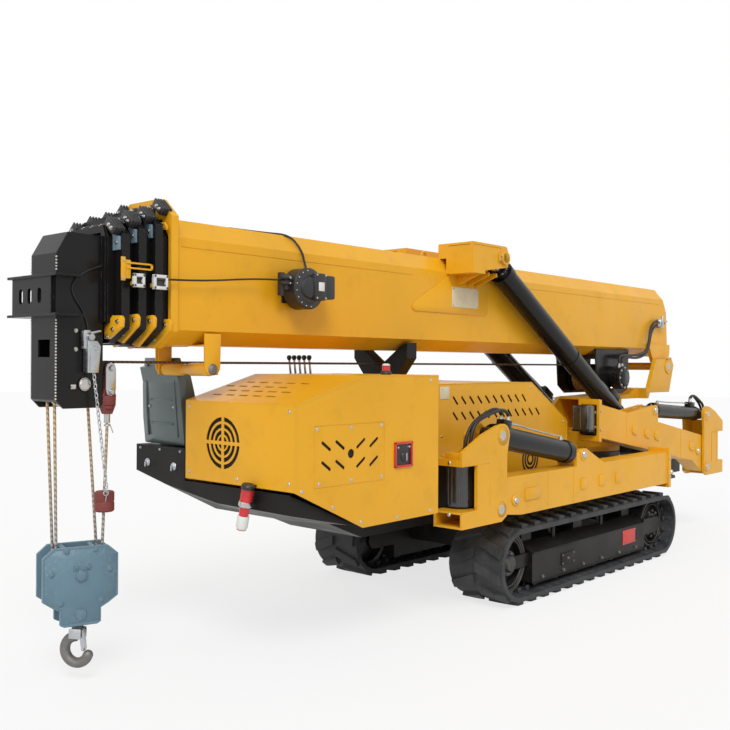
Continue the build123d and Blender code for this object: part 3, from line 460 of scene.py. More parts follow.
def make_finishes():
    """Every finish of the machine, by name."""
    chosen = settings()
    bright = (0.55, 0.53, 0.50)
    FINISHES.update({
        "yellow_paint": paint("yellow_paint", chosen.yellow, 0.34, (0.60, 0.34, 0.06), 0.15),
        "black_paint": paint("black_paint", chosen.black, 0.24, (0.10, 0.085, 0.08), 0.1, 0.08, 0.18),
        "chassis_paint": paint("chassis_paint", chosen.carrier, 0.42, (0.07, 0.06, 0.055), 0.12, 0.03,
                               0.18),
        "block_blue": paint("block_blue", chosen.block, 0.40, (0.30, 0.33, 0.35), 0.05, 0.05),
        "socket_red": paint("socket_red", (0.20, 0.045, 0.04), 0.5, (0.35, 0.30, 0.28), 0.0, 0.0),
        "rubber": rubber("rubber", (0.024, 0.025, 0.027), (0.088, 0.090, 0.092)),
        "hose_rubber": rubber("hose_rubber", (0.012, 0.012, 0.012), (0.04, 0.037, 0.034), 0.5, 400.0),
        "bare_steel": metal("bare_steel", bright, 0.24),
        "cast_grey": metal("cast_grey", (0.20, 0.19, 0.18), 0.55, 60.0, 0.5, 0.7),
        "dark_steel": metal("dark_steel", (0.085, 0.08, 0.078), 0.5, 60.0, 0.4, 0.8),
        "wire_rope": rope_steel("wire_rope"),
        "seat_plastic": plastic("seat_plastic", (0.062, 0.092, 0.092), 0.35, 0.0, 0.0012, 0.55),
        "lamp_red": plastic("lamp_red", (0.66, 0.03, 0.03), 0.2, 0.1),
        "reel_plastic": plastic("reel_plastic", (0.018, 0.018, 0.019), 0.38),
        # bright weld metal, which also paints the weld's glints
        "weld_steel_glint": metal("weld_steel_glint", (0.66, 0.65, 0.63), 0.35, 160.0, 0.3, 0.6),
        "zinc": metal("zinc", (0.50, 0.52, 0.53), 0.35, 120.0, 0.4),
        "bracket_blue": paint("bracket_blue", (0.16, 0.235, 0.29), 0.45, (0.4, 0.4, 0.4), 0.0, 0.0),
        "white_plastic": plastic("white_plastic", (0.72, 0.72, 0.70), 0.4),
        "plate_cream": plastic("plate_cream", (0.70, 0.62, 0.42), 0.45),
        "plate_red": plastic("plate_red", (0.60, 0.045, 0.035), 0.45),
        # dark matt sheet that paints shade: behind the covers' slots and in the vent's openings
        "painted_shade_black": rubber("painted_shade_black", (0.010, 0.010, 0.010), (0.022, 0.021, 0.020), 0.85, 60.0),
        "film_black": film("film_black", (0.010, 0.010, 0.010)),
        # lighter film for raised film edges, which also paints the film's upright highlights
        "film_edge_highlight": film("film_edge_highlight", (0.05, 0.05, 0.05)),
    })


NODE_FINISH = {
    "rubber": ("track_left", "track_right"),
    "chassis_paint": ("chassis_frame", "front_deck", "track_frames", "boom_rest"),
    "dark_steel": ("track_wheels", "slew_ring", "engine_block"),
    "black_paint": ("boom_section_2", "boom_section_3", "boom_section_4", "boom_section_5", "boom_head",
                    "lift_barrels", "winch_frame", "winch_drum", "lever_bank"),
    "bare_steel": ("lift_rods", "head_sheaves"),
    "cast_grey": ("block_sheaves", "hook"),
    "block_blue": ("hook_block",),
    "wire_rope": ("hoist_falls",),
    "socket_red": ("rope_socket",),
    "reel_plastic": ("cable_reel",),
    "seat_plastic": ("operator_seat",),
    "lamp_red": ("beacons",),
}


# ---------------------------------------------------------------- operators
class CRANE_OT_paint_frame(bpy.types.Operator):
    """Make the finishes and give each solid of the frame its own"""

    bl_idname = "crane.paint_frame"
    bl_label = "Paint the frame"

    def execute(self, context):
        make_finishes()
        finish_of = {name: finish for finish, names in NODE_FINISH.items() for name in names}
        for name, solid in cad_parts.items():
            if name.endswith(("_leg", "_barrel")):
                finish = "black_paint"
            elif name.endswith("_rod"):
                finish = "bare_steel"
            else:
                finish = finish_of.get(name, "yellow_paint")
            solid.data.materials.clear()
            solid.data.materials.append(FINISHES[finish])
        return {"FINISHED"}


class CRANE_OT_head_fittings(bpy.types.Operator):
    """Fit the boom head's welds, axle keeper, limit switch, overhoist weight and rope socket links"""

    bl_idname = "crane.head_fittings"
    bl_label = "Boom head fittings"

    CHEEK = -0.110
    SHEAVE_AXLE = (-3.070, 1.400)
    # the weld's line, its beads and the window that interrupts it
    WELD_X, WELD_FOOT, BEADS, BEAD_PITCH, BEAD_RADIUS = -3.209, 1.335, 46, 0.0142, 0.0052
    WINDOW = (1.700, 1.905)
    # the rope socket's middle and the chain's two ends
    SOCKET_X, SOCKET_Y = -2.934, -0.092
    CHAIN_TOP, CHAIN_END, CHAIN_LINKS = (-3.042, -0.151, 1.452), (-2.968, -0.147, 0.910), 27

    def execute(self, context):
        self.welds()
        self.switch()
        self.weight()
        self.socket()
        return {"FINISHED"}

    def welds(self):
        """Beads down both cheeks, and the fastenings on the near cheek."""
        parts = bmesh.new()
        # painted glints: the beads are weld metal in a bright finish, with gaps between them, so that they
        # paint the weld's glints as dashes
        for y in (self.CHEEK, -self.CHEEK):
            for index in range(self.BEADS):
                z = self.WELD_FOOT + index * self.BEAD_PITCH
                if self.WINDOW[0] < z < self.WINDOW[1]:
                    continue
                bead = bmesh.new()
                bmesh.ops.create_icosphere(bead, subdivisions=1, radius=self.BEAD_RADIUS)
                bmesh.ops.scale(bead, vec=(1.0, 1.0, 1.05), verts=bead.verts)
                bmesh.ops.translate(bead, vec=(self.WELD_X, y, z), verts=bead.verts)
                join(parts, bead)
        piece("head_weld", parts, "tip", ["weld_steel_glint"])
        # keeper and cap of the sheaves' axle, and two screws over it
        parts = bmesh.new()
        join(parts, box((-3.140, self.CHEEK - 0.010, 1.378), (-3.112, self.CHEEK, 1.400), 0.003))
        join(parts, bolt((-3.133, self.CHEEK - 0.010, 1.389), NEARWARD, 0.006))
        join(parts, boss([(0.024, 0.006), (0.027, 0.002), (0.027, 0)],
                         (self.SHEAVE_AXLE[0], self.CHEEK - 0.014, self.SHEAVE_AXLE[1]), NEARWARD, 32))
        for x, z in ((-3.110, 1.645), (-3.110, 1.560)):
            join(parts, bolt((x, self.CHEEK, z), NEARWARD, 0.008))
        piece("head_bolts", parts, "tip", ["bare_steel"])

    def switch(self):
        """Cast limit switch with its cap and lever, and the cable to it."""
        y = self.CHEEK - 0.004
        parts = bmesh.new()
        join(parts, plate([(-3.078, 1.452), (-3.020, 1.452), (-3.008, 1.575), (-3.026, 1.600),
                           (-3.078, 1.604)], y - 0.046, y, "y", 0.006))
        join(parts, plate([(-3.070, 1.462), (-3.028, 1.462), (-3.020, 1.570), (-3.066, 1.576)],
                          y - 0.052, y - 0.044, "y", 0.003))
        join(parts, box((-3.092, y - 0.034, 1.560), (-3.050, y, 1.650), 0.009))
        join(parts, rod((-3.062, y - 0.056, 1.616), (-3.062, y, 1.616), 0.015))
        join(parts, rod((-3.066, y - 0.050, 1.634), (-3.016, y - 0.050, 1.646), 0.006))
        for z in (1.560, 1.480):
            join(parts, bolt((-3.040, y - 0.052, z), NEARWARD, 0.005))
        piece("limit_switch", parts, "tip", ["zinc"])
        parts = bmesh.new()
        join(parts, pipe([(-3.05, y, 1.645), (-3.062, y - 0.004, 1.72), (-3.13, y, 1.80), (-3.135, y, 1.87),
                          (-3.05, y, 1.93), (-2.98, y, 1.95)], 0.0035))
        piece("switch_cable", parts, "tip", ["hose_rubber"])

    def weight(self):
        """Overhoist weight round the rope and the chain that holds it; both hang like the hook block."""
        parts = bmesh.new()
        top, low = Vector(self.CHAIN_TOP), Vector(self.CHAIN_END)
        for index in range(self.CHAIN_LINKS):
            place = top.lerp(low, index / (self.CHAIN_LINKS - 1))
            link = ring((0, 0, 0), ACROSS, 0.0072, 0.0024, 12, 6)
            bmesh.ops.scale(link, vec=(1.0, 1.0, 1.75), verts=link.verts)
            turn = Matrix.Rotation(math.pi / 2 * (index % 2) + 0.4, 4, "Z")
            bmesh.ops.transform(link, matrix=Matrix.Translation(place) @ turn, verts=link.verts)
            join(parts, link)
        piece("weight_chain", parts, "hook_assembly", ["zinc"])
        parts = bmesh.new()
        profile = [(0.012, 0.0), (0.040, 0.0), (0.046, 0.006), (0.046, 0.042), (0.043, 0.047),
                   (0.046, 0.052), (0.046, 0.090), (0.040, 0.096), (0.012, 0.096), (0.012, 0.0)]
        join(parts, turned(profile, (-2.9375, -0.0795, 0.798), UP, 32))
        join(parts, ring((-2.966, -0.138, 0.893), ACROSS, 0.012, 0.003, 16, 8), 1)
        join(parts, pipe([(-2.966, -0.144, 0.886), (-2.962, -0.130, 0.872),
                          (-2.955, -0.118, 0.850)], 0.003), 1)
        piece("overhoist_weight", parts, "hook_assembly", ["socket_red", "zinc"])

    def socket(self):
        """Link plates, swaged body, thimble and rope end of the hoist rope's socket."""
        x, y, near = self.SOCKET_X, self.SOCKET_Y, -0.122
        parts = bmesh.new()
        side = [(x - 0.027, 1.375), (x - 0.027, 1.470), (x - 0.020, 1.492), (x, 1.502), (x + 0.020, 1.492),
                (x + 0.027, 1.470), (x + 0.027, 1.375), (x + 0.020, 1.353), (x, 1.343), (x - 0.020, 1.353)]
        join(parts, plate(side, near - 0.003, near + 0.001, "y", 0.001))
        for z in (1.475, 1.363):
            join(parts, boss([(0.009, 0.012), (0.012, 0.006), (0.014, 0.0)], (x, near - 0.003, z),
                             NEARWARD, 24))
        join(parts, boss([(0.0135, 0.0), (0.0145, 0.006), (0.0145, 0.036), (0.019, 0.058)],
                         (x, y, 1.216), UP, 24))
        join(parts, ring((x, y, 1.205), UP, 0.010, 0.005, 20, 8))
        join(parts, rod((x + 0.012, -0.096, 1.212), (x + 0.028, -0.100, 1.168), 0.0025, 8, 0))
        piece("socket_links", parts, "tip", ["zinc"])
        parts = bmesh.new()
        join(parts, rod((x, y, 1.191), (x, y, 1.225), 0.007, 16, 0))
        piece("socket_rope", parts, "tip", ["wire_rope"])
        parts = bmesh.new()
        for radius, low, high in ((0.036, 1.300, 1.345), (0.031, 1.282, 1.300)):
            join(parts, rod((x, y, low), (x, y, high), radius, 32, 0.004))
        piece("socket_body", parts, "tip", ["socket_red"])


class CRANE_OT_collar_fittings(bpy.types.Operator):
    """Fit the wear pads, brackets, chain blocks and cable guides at the boom's front"""

    bl_idname = "crane.collar_fittings"
    bl_label = "Boom front fittings"

    # body, its solid, height of the top of the corner block, the pad's corners on the near side
    ROWS = (
        ("boom", "boom_base", 2.300, ((-0.165, 1.712), (-0.230, 1.712), (-0.245, 1.698), (-0.240, 1.655),
                                      (-0.104, 1.570), (-0.050, 1.575), (-0.150, 1.655))),
        ("section_2", "boom_section_2", 2.252, ((-0.161, 1.725), (-0.225, 1.727), (-0.240, 1.712),
                                                (-0.236, 1.670), (-0.100, 1.576), (-0.050, 1.590),
                                                (-0.150, 1.670))),
        ("section_3", "boom_section_3", 2.220, ((-0.161, 1.727), (-0.221, 1.729), (-0.236, 1.713),
                                                (-0.231, 1.673), (-0.103, 1.592), (-0.056, 1.608),
                                                (-0.150, 1.681))),
        ("section_4", "boom_section_4", 2.179, ((-0.160, 1.720), (-0.225, 1.718), (-0.239, 1.704),
                                                (-0.235, 1.665), (-0.126, 1.610), (-0.095, 1.611),
                                                (-0.090, 1.662))),
    )

    def execute(self, context):
        for index, (body, solid, top, pad) in enumerate(self.ROWS):
            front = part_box(solid)[0].x - DATUM
            self.pads(front, body, pad)
            self.blocks(front, index, body, top)
        self.guides()
        return {"FINISHED"}

    def pads(self, front, body, outline):
        """Wear pads under both lower corners, each with three bolts."""
        foot = 1.727 - outline[1][1]
        parts = bmesh.new()
        for side in SIDES.values():
            corners = [(-side * y, z) for y, z in outline]
            join(parts, plate(corners, front - 0.020, front, "x", 0.004))
            for y, z in ((0.207, 1.700), (0.168, 1.664), (0.122, 1.630)):
                join(parts, bolt((front - 0.020, side * y, z - foot), FORWARD, 0.009), 1)
        piece(f"{body}_pads", parts, body, ["yellow_paint", "bare_steel"])

    def blocks(self, front, index, body, top):
        """Ribbed blocks on the top corners, blue brackets and the chain anchors between them."""
        parts = bmesh.new()
        for side in SIDES.values():
            turn = Matrix.Rotation(side * math.radians(-41), 4, "X")
            place = Matrix.Translation((front - 0.014, side * 0.166, top - 0.043)) @ turn
            for rib in range(4):
                slab = box((-0.026 + rib * 0.016, -0.045, -0.022),
                           (-0.018 + rib * 0.016, 0.045, 0.022), 0.003)
                join(parts, slab, place=place)
            join(parts, box((-0.022, -0.039, -0.018), (0.034, 0.039, 0.018), 0.003), place=place)
            for shift in (-0.020, 0.006):
                join(parts, bolt((-0.026, -side * shift, 0), FORWARD, 0.008), 2, place)
            if index:
                bracket = [(0.033, top - 0.026), (0.110, top - 0.034), (0.110, top - 0.068),
                           (0.201, top - 0.093), (0.202, top - 0.155), (0.111, top - 0.156),
                           (0.100, top - 0.101), (0.038, top - 0.079)]
                join(parts, plate([(side * y, z) for y, z in bracket], front - 0.010, front, "x", 0.002), 1)
                for y, z in ((0.070, 0.052), (0.180, 0.120), (0.135, 0.135)):
                    join(parts, bolt((front - 0.010, side * y, top - z), FORWARD, 0.008), 2)
        for y in (-0.075, 0.0, 0.075):
            join(parts, box((front - 0.01, y - 0.022, top - 0.075),
                            (front + 0.04, y + 0.022, top - 0.02), 0.004))
            join(parts, rod((front - 0.038, y, top - 0.045), (front + 0.01, y, top - 0.045), 0.011, 12), 2)
            join(parts, rod((front - 0.030, y, top - 0.045), (front - 0.016, y, top - 0.045), 0.018, 6), 2)
        piece(f"{body}_chain_blocks", parts, body, ["reel_plastic", "bracket_blue", "bare_steel"])
        # black screws along the collar's yellow crown
        parts = bmesh.new()
        crown = top + 0.002
        for y in (-0.100, -0.036, 0.036, 0.100):
            join(parts, boss([(0.006, 0.001), (0.008, 0.0), (0.008, -0.004)],
                             (front + 0.021, y, crown), UP, 20))
        piece(f"{body}_strip", parts, body, ["reel_plastic"])

    def guides(self):
        """Cable guides of the overload wire beside the collars, and a drilled ear."""
        side = -0.2405
        parts = bmesh.new()
        # T plate: its slotted arm points back along the boom
        join(parts, box((-2.962, side - 0.006, 1.878), (-2.938, side, 1.988), 0.004))
        for low, high in ((1.934, 1.9425), (1.9575, 1.966)):
            join(parts, box((-2.930, side - 0.006, low), (-2.788, side, high), 0.002))
        join(parts, box((-2.800, side - 0.006, 1.934), (-2.788, side, 1.966), 0.002))
        join(parts, box((-2.940, side, 1.890), (-2.906, -BOOM_SKIN, 1.976), 0.003))
        for z in (1.892, 1.974):
            join(parts, bolt((-2.950, side - 0.006, z), NEARWARD, 0.005), 1)
        piece("cable_strip", parts, "section_4", ["yellow_paint", "bare_steel"])
        for body, (low, high), (foot, head) in (("section_3", (-2.902, -2.842), (1.851, 1.915)),
                                                ("section_2", (-2.792, -2.712), (1.848, 1.918))):
            parts = bmesh.new()
            middle = (foot + head) / 2
            for z, end in ((foot, foot + 0.016), (head - 0.016, head)):
                join(parts, box((low, side - 0.022, z), (high, side, end), 0.003))
            for x, end in ((low, low + 0.014), (high - 0.014, high)):
                join(parts, box((x, side - 0.022, foot), (end, side, head), 0.003))
            join(parts, box((low + 0.008, side - 0.008, foot + 0.008),
                            (high - 0.008, side, head - 0.008), 0.002), 2)
            for z in (middle - 0.014, middle + 0.014):
                join(parts, rod((low + 0.010, side - 0.014, z), (high - 0.010, side - 0.014, z),
                                0.006, 16), 2)
            join(parts, box((low + 0.012, side, foot + 0.010),
                            (low + 0.048, -BOOM_SKIN, foot + 0.030), 0.002), 1)
            piece(f"cable_guide_{body}", parts, body, ["white_plastic", "yellow_paint", "dark_steel"])
        # small drilled ear at the outer section's near shoulder
        parts = bmesh.new()
        join(parts, plate([(-0.147, 2.182), (-0.148, 2.150), (-0.219, 2.141), (-0.222, 2.160),
                           (-0.200, 2.182)], -2.694, -2.684, "x", 0.003))
        join(parts, ring((-2.694, -0.199, 2.162), (1, 0, 0), 0.010, 0.003, 20, 6))
        piece("boom_ear", parts, "boom", ["yellow_paint"])


class CRANE_OT_boom_fittings(bpy.types.Operator):
    """Fit the boom's doubler plates, seams, lifting eye, cable reel, rope guide and blank plate"""

    bl_idname = "crane.boom_fittings"
    bl_label = "Boom fittings"

    def execute(self, context):
        parts = bmesh.new()
        for side in SIDES.values():
            face = side * BOOM_SIDE
            seam = side * (BOOM_SIDE + 0.0005)
            outline = [(-0.400, 2.110), (0.030, 2.110), (0.030, 1.862), (0.010, 1.842), (-0.780, 1.842),
                       (-0.806, 1.862), (-0.800, 1.890)]
            join(parts, plate(outline, face, face + side * 0.006, "y", 0.003))
            # long seam below the shoulder, in two lengths, and the seam of the lower corner
            for low, high in ((-2.60, -0.80), (0.03, 2.84)):
                join(parts, rod((low, seam, 2.072), (high, seam, 2.072), 0.0022, 8, 0))
            join(parts, rod((-2.60, side * BOOM_SKIN, 1.662), (2.95, side * BOOM_SKIN, 1.662), 0.003, 8, 0))
        # lifting eye on its foot
        join(parts, ring((-0.42, 0, 2.238), ACROSS, 0.026, 0.009, 32, 10))
        join(parts, box((-0.450, -0.011, 2.206), (-0.390, 0.011, 2.220), 0.003))
        piece("boom_doublers", parts, "boom", ["yellow_paint"])
        parts = bmesh.new()
        join(parts, box((-0.388, -0.2185, 1.887), (-0.086, -0.2150, 2.022), 0.002))
        for x in (-0.376, -0.098):
            for z in (1.899, 2.010):
                join(parts, bolt((x, -0.2185, z), NEARWARD, 0.004), 1)
        piece("boom_blank_plate", parts, "boom", ["plate_cream", "bare_steel"])
        self.bracket()
        self.reel()
        self.cables()
        self.rope_guide()
        return {"FINISHED"}

    def bracket(self):
        """Pins, keepers, gussets and top weld of the two lift brackets."""
        parts = bmesh.new()
        for side in SIDES.values():
            out = (0, side, 0)
            cheek, keeper = side * 0.424, side * 0.434
            join(parts, boss([(0.034, 0.012), (0.040, 0.006), (0.040, 0.0)],
                             (LIFT_UPPER[0], keeper, LIFT_UPPER[1]), out, 32), 1)
            join(parts, box((-0.150, cheek, 2.196), (-0.112, keeper, 2.250), 0.003))
            for z in (2.236, 2.210):
                join(parts, bolt((-0.131, keeper, z), out, 0.008), 1)
            for x in (-0.330, -0.220, -0.130):
                join(parts, plate([(side * 0.212, 2.120), (side * 0.395, 2.120), (side * 0.395, 2.096),
                                   (side * 0.300, 2.060), (side * 0.212, 2.030)], x, x + 0.012, "x", 0.003))
            for index in range(8):
                x = -0.43 + index * 0.04
                join(parts, rod((x, side * 0.4245, 2.290), (x + 0.03, side * 0.4245, 2.290), 0.004, 8, 0))
        piece("bracket_pins", parts, "boom", ["yellow_paint", "bare_steel"])

    def reel(self):
        """Spring reel: two overlapping drums, a side housing, guide rollers and a blank plate."""
        x, z, face = -1.84, 1.908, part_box("cable_reel")[0].y
        parts = bmesh.new()
        drum = [(0, 0.014), (0.076, 0.014), (0.084, 0.008), (0.104, 0.006), (0.112, 0.0),
                (0.112, -0.030), (0, -0.030)]
        join(parts, turned(drum, (x, face, z), NEARWARD, 56))
        join(parts, boss([(0.046, 0.016), (0.056, 0.010), (0.060, 0.0)],
                         (x - 0.012, face - 0.014, z + 0.004), NEARWARD, 48))
        join(parts, box((x + 0.010, face - 0.040, z - 0.062), (x + 0.100, face + 0.020, z + 0.086), 0.012))
        join(parts, box((x + 0.070, face - 0.034, z - 0.052), (x + 0.172, face + 0.060, z + 0.078), 0.010))
        join(parts, box((x - 0.150, face + 0.030, z - 0.014), (x - 0.030, face + 0.078, z + 0.070), 0.008))
        for height in (0.022, 0.052):
            join(parts, rod((x - 0.178, face + 0.030, z + height),
                            (x - 0.118, face + 0.030, z + height), 0.012, 20))
            join(parts, bolt((x - 0.122, face + 0.018, z + height), NEARWARD, 0.005), 1)
        join(parts, box((x - 0.170, face + 0.040, z - 0.045), (x - 0.140, face + 0.070, z + 0.080), 0.005))
        for a, b in ((0.022, 0.074), (0.022, -0.050), (0.088, -0.050), (0.088, 0.074)):
            join(parts, bolt((x + a, face - 0.040, z + b), NEARWARD, 0.005), 1)
        for index in range(9):
            angle = math.radians(100 + index * 22)
            spot = Vector((x + 0.098 * math.cos(angle), face - 0.004, z + 0.098 * math.sin(angle)))
            join(parts, bolt(spot, NEARWARD, 0.0045), 1)
        join(parts, box((x + 0.034, face - 0.0425, z - 0.012),
                        (x + 0.078, face - 0.040, z + 0.036), 0.001), 2)
        piece("reel_housing", parts, "boom", ["reel_plastic", "bare_steel", "white_plastic"])

    def cables(self):
        """Overload wire to the reel, the reel's own lead over the boom, and the winch's valve and hoses."""
        parts = bmesh.new()
        join(parts, pipe([(-2.79, -0.2545, 1.898), (-2.686, -0.250, 1.899), (-2.45, -0.246, 1.912),
                          (-2.23, -0.250, 1.936), (-2.10, -0.262, 1.945), (-2.00, -0.290, 1.946)],
                         settings().wire))
        join(parts, pipe([(-1.775, -0.250, 1.995), (-1.775, -0.228, 2.07), (-1.79, -0.220, 2.130),
                          (-1.83, -0.165, 2.216), (-1.95, -0.100, 2.218), (-2.20, -0.090, 2.217)], 0.006))
        piece("overload_cable", parts, "boom", ["hose_rubber"])
        # valve on the boom's rear flank and its two hoses down to the winch motor
        parts = bmesh.new()
        join(parts, box((2.775, -0.258, 1.850), (2.845, -0.209, 1.935), 0.008))
        join(parts, rod((2.790, -0.262, 1.872), (2.790, -0.262, 1.960), 0.014, 20))
        join(parts, rod((2.826, -0.266, 1.895), (2.870, -0.266, 1.915), 0.010, 16))
        for z in (1.872, 1.912):
            join(parts, boss([(0.016, 0), (0.016, 0.016), (0.012, 0.018), (0.012, 0.036)],
                             (2.776, -0.236, z), FORWARD, 6))
        piece("boom_valve", parts, "boom", ["zinc"])
        parts = bmesh.new()
        for shift, z, fitting in ((0.0, 1.872, 1.986), (0.014, 1.912, 1.934)):
            join(parts, pipe([(2.742, -0.236, z), (2.690, -0.238, z), (2.590 - shift, -0.246, z - 0.060),
                              (2.540 - shift, -0.256, 1.720), (2.470 - shift, -0.262, 1.610 + shift),
                              (2.280 - shift, -0.266, 1.566 + 2 * shift),
                              (fitting + 0.080, -0.266, 1.576 + shift),
                              (fitting + 0.014, -0.264, 1.570 + shift), (fitting, -0.262, 1.545),
                              (fitting, -0.262, 1.518)], settings().hose))
        piece("boom_valve_hoses", parts, "boom", ["hose_rubber"])

    def rope_guide(self):
        """Guide tube under the boom's front, and the hoist rope that runs over it."""
        x, z = ROPE_GUIDE
        parts = bmesh.new()
        for side in SIDES.values():
            join(parts, plate([(-2.452, 1.650), (-2.348, 1.650), (-2.352, 1.470), (-2.370, 1.440),
                               (-2.430, 1.440), (-2.448, 1.470)], side * 0.204, side * 0.212, "y", 0.002))
            join(parts, boss([(0.018, 0.016), (0.024, 0.008), (0.030, 0.0)], (x, side * 0.212, z),
                             (0, side, 0), 28), 1)
            join(parts, box((-2.445, side * 0.05, 1.586), (-2.355, side * 0.2, 1.594), 0.002))
        join(parts, boss([(0.034, -0.186), (0.034, -0.040), (0.0262, -0.024), (0.0262, 0.024),
                          (0.034, 0.040), (0.034, 0.186)], (x, 0, z), ACROSS, 40))
        piece("rope_guide", parts, "boom", ["yellow_paint", "cast_grey"])
        parts = bmesh.new()
        join(parts, rod((x, 0, z + 0.0345), (WINCH[0], 0, WINCH[1] + 0.106), 0.0065, 12, 0))
        piece("hoist_rope_boom", parts, "boom", ["wire_rope"])
        parts = bmesh.new()
        join(parts, rod((-3.070, -0.034, 1.5035), (x, 0, z + 0.0345), 0.0065, 12, 0))
        join(parts, rod((x, 0, z + 0.0345), (-0.300, 0, 1.5042), 0.0062, 12, 0))
        piece("hoist_rope_tip", parts, "tip", ["wire_rope"])


class CRANE_OT_hook_fittings(bpy.types.Operator):
    """Fit the hook block's bolts, rims, pin keeper, swivel nut and the hook's latch"""

    bl_idname = "crane.hook_fittings"
    bl_label = "Hook block fittings"

    TWIST, HOOK_TURN = math.radians(-18), math.radians(-62)
    MIDDLE_X, CHEEK = -3.030, 0.076

    def execute(self, context):
        place = Matrix.Translation((self.MIDDLE_X, 0, 0)) @ Matrix.Rotation(self.TWIST, 4, "Z")
        parts = bmesh.new()
        for out in (-1, 1):
            face = out * self.CHEEK
            for a, z in ((0.066, 0.630), (0.133, 0.530), (0.092, 0.392)):
                for side in (-1, 1):
                    join(parts, boss([(0.007, 0.010), (0.009, 0.008), (0.009, 0.003), (0.015, 0.002),
                                      (0.015, 0)], (side * a, face, z), (0, out, 0), 20), place=place)
            pin = [(0, 0.016), (0.019, 0.016), (0.024, 0.013), (0.026, 0.004), (0.032, 0.002),
                   (0.032, 0), (0, 0)]
            join(parts, turned(pin, (0.0, face, 0.513), (0, out, 0), 32), place=place)
            join(parts, boss([(0.010, 0.012), (0.013, 0.010), (0.022, 0.010), (0.025, 0.006), (0.025, 0)],
                             (0.0, face, 0.332), (0, out, 0), 28), place=place)
        keeper = [(-0.034, 0.535), (0.046, 0.538), (0.044, 0.562), (0.012, 0.572), (-0.034, 0.566)]
        join(parts, plate(keeper, -0.082, -0.076, "y", 0.002), place=place)
        for a in (-0.020, 0.030):
            join(parts, bolt((a, -0.082, 0.552), NEARWARD, 0.007), place=place)
        # rounded rims of both cheeks
        for low, high in ((-0.0775, -0.076), (0.076, 0.0775)):
            rim = [(-0.116, 0.636), (0.116, 0.636), (0.163, 0.599), (0.163, 0.410), (0.118, 0.379),
                   (0.086, 0.360), (0.086, 0.296), (-0.086, 0.296), (-0.086, 0.360), (-0.118, 0.379),
                   (-0.163, 0.410), (-0.163, 0.599)]
            join(parts, plate(rim, low, high, "y", 0.001), place=place)
        piece("block_bolts", parts, "hook_assembly", ["block_blue"])
        # swivel nut under the block, and the latch across the hook's throat
        turn = Matrix.Translation((self.MIDDLE_X, 0, 0)) @ Matrix.Rotation(self.HOOK_TURN, 4, "Z")
        parts = bmesh.new()
        join(parts, boss([(0.032, 0.0), (0.036, 0.004), (0.036, 0.020), (0.030, 0.026)],
                         (0, 0, 0.262), UP, 32), place=turn)
        piece("swivel_nut", parts, "hook_assembly", ["dark_steel"])
        parts = bmesh.new()
        latch = [(0.010, 0.246), (0.036, 0.250), (0.040, 0.215), (0.046, 0.160), (0.040, 0.146),
                 (0.030, 0.150), (0.022, 0.200)]
        join(parts, plate(latch, -0.014, 0.014, "y", 0.003), place=turn)
        for side in (-1, 1):
            join(parts, plate([(-0.028, 0.206), (-0.026, 0.252), (0.036, 0.254), (0.034, 0.206)],
                              side * 0.0250, side * 0.0285, "y", 0.001), place=turn)
        join(parts, rod((0.020, -0.031, 0.240), (0.020, 0.031, 0.240), 0.006, 16), place=turn)
        piece("hook_latch", parts, "hook_assembly", ["zinc"])
        return {"FINISHED"}


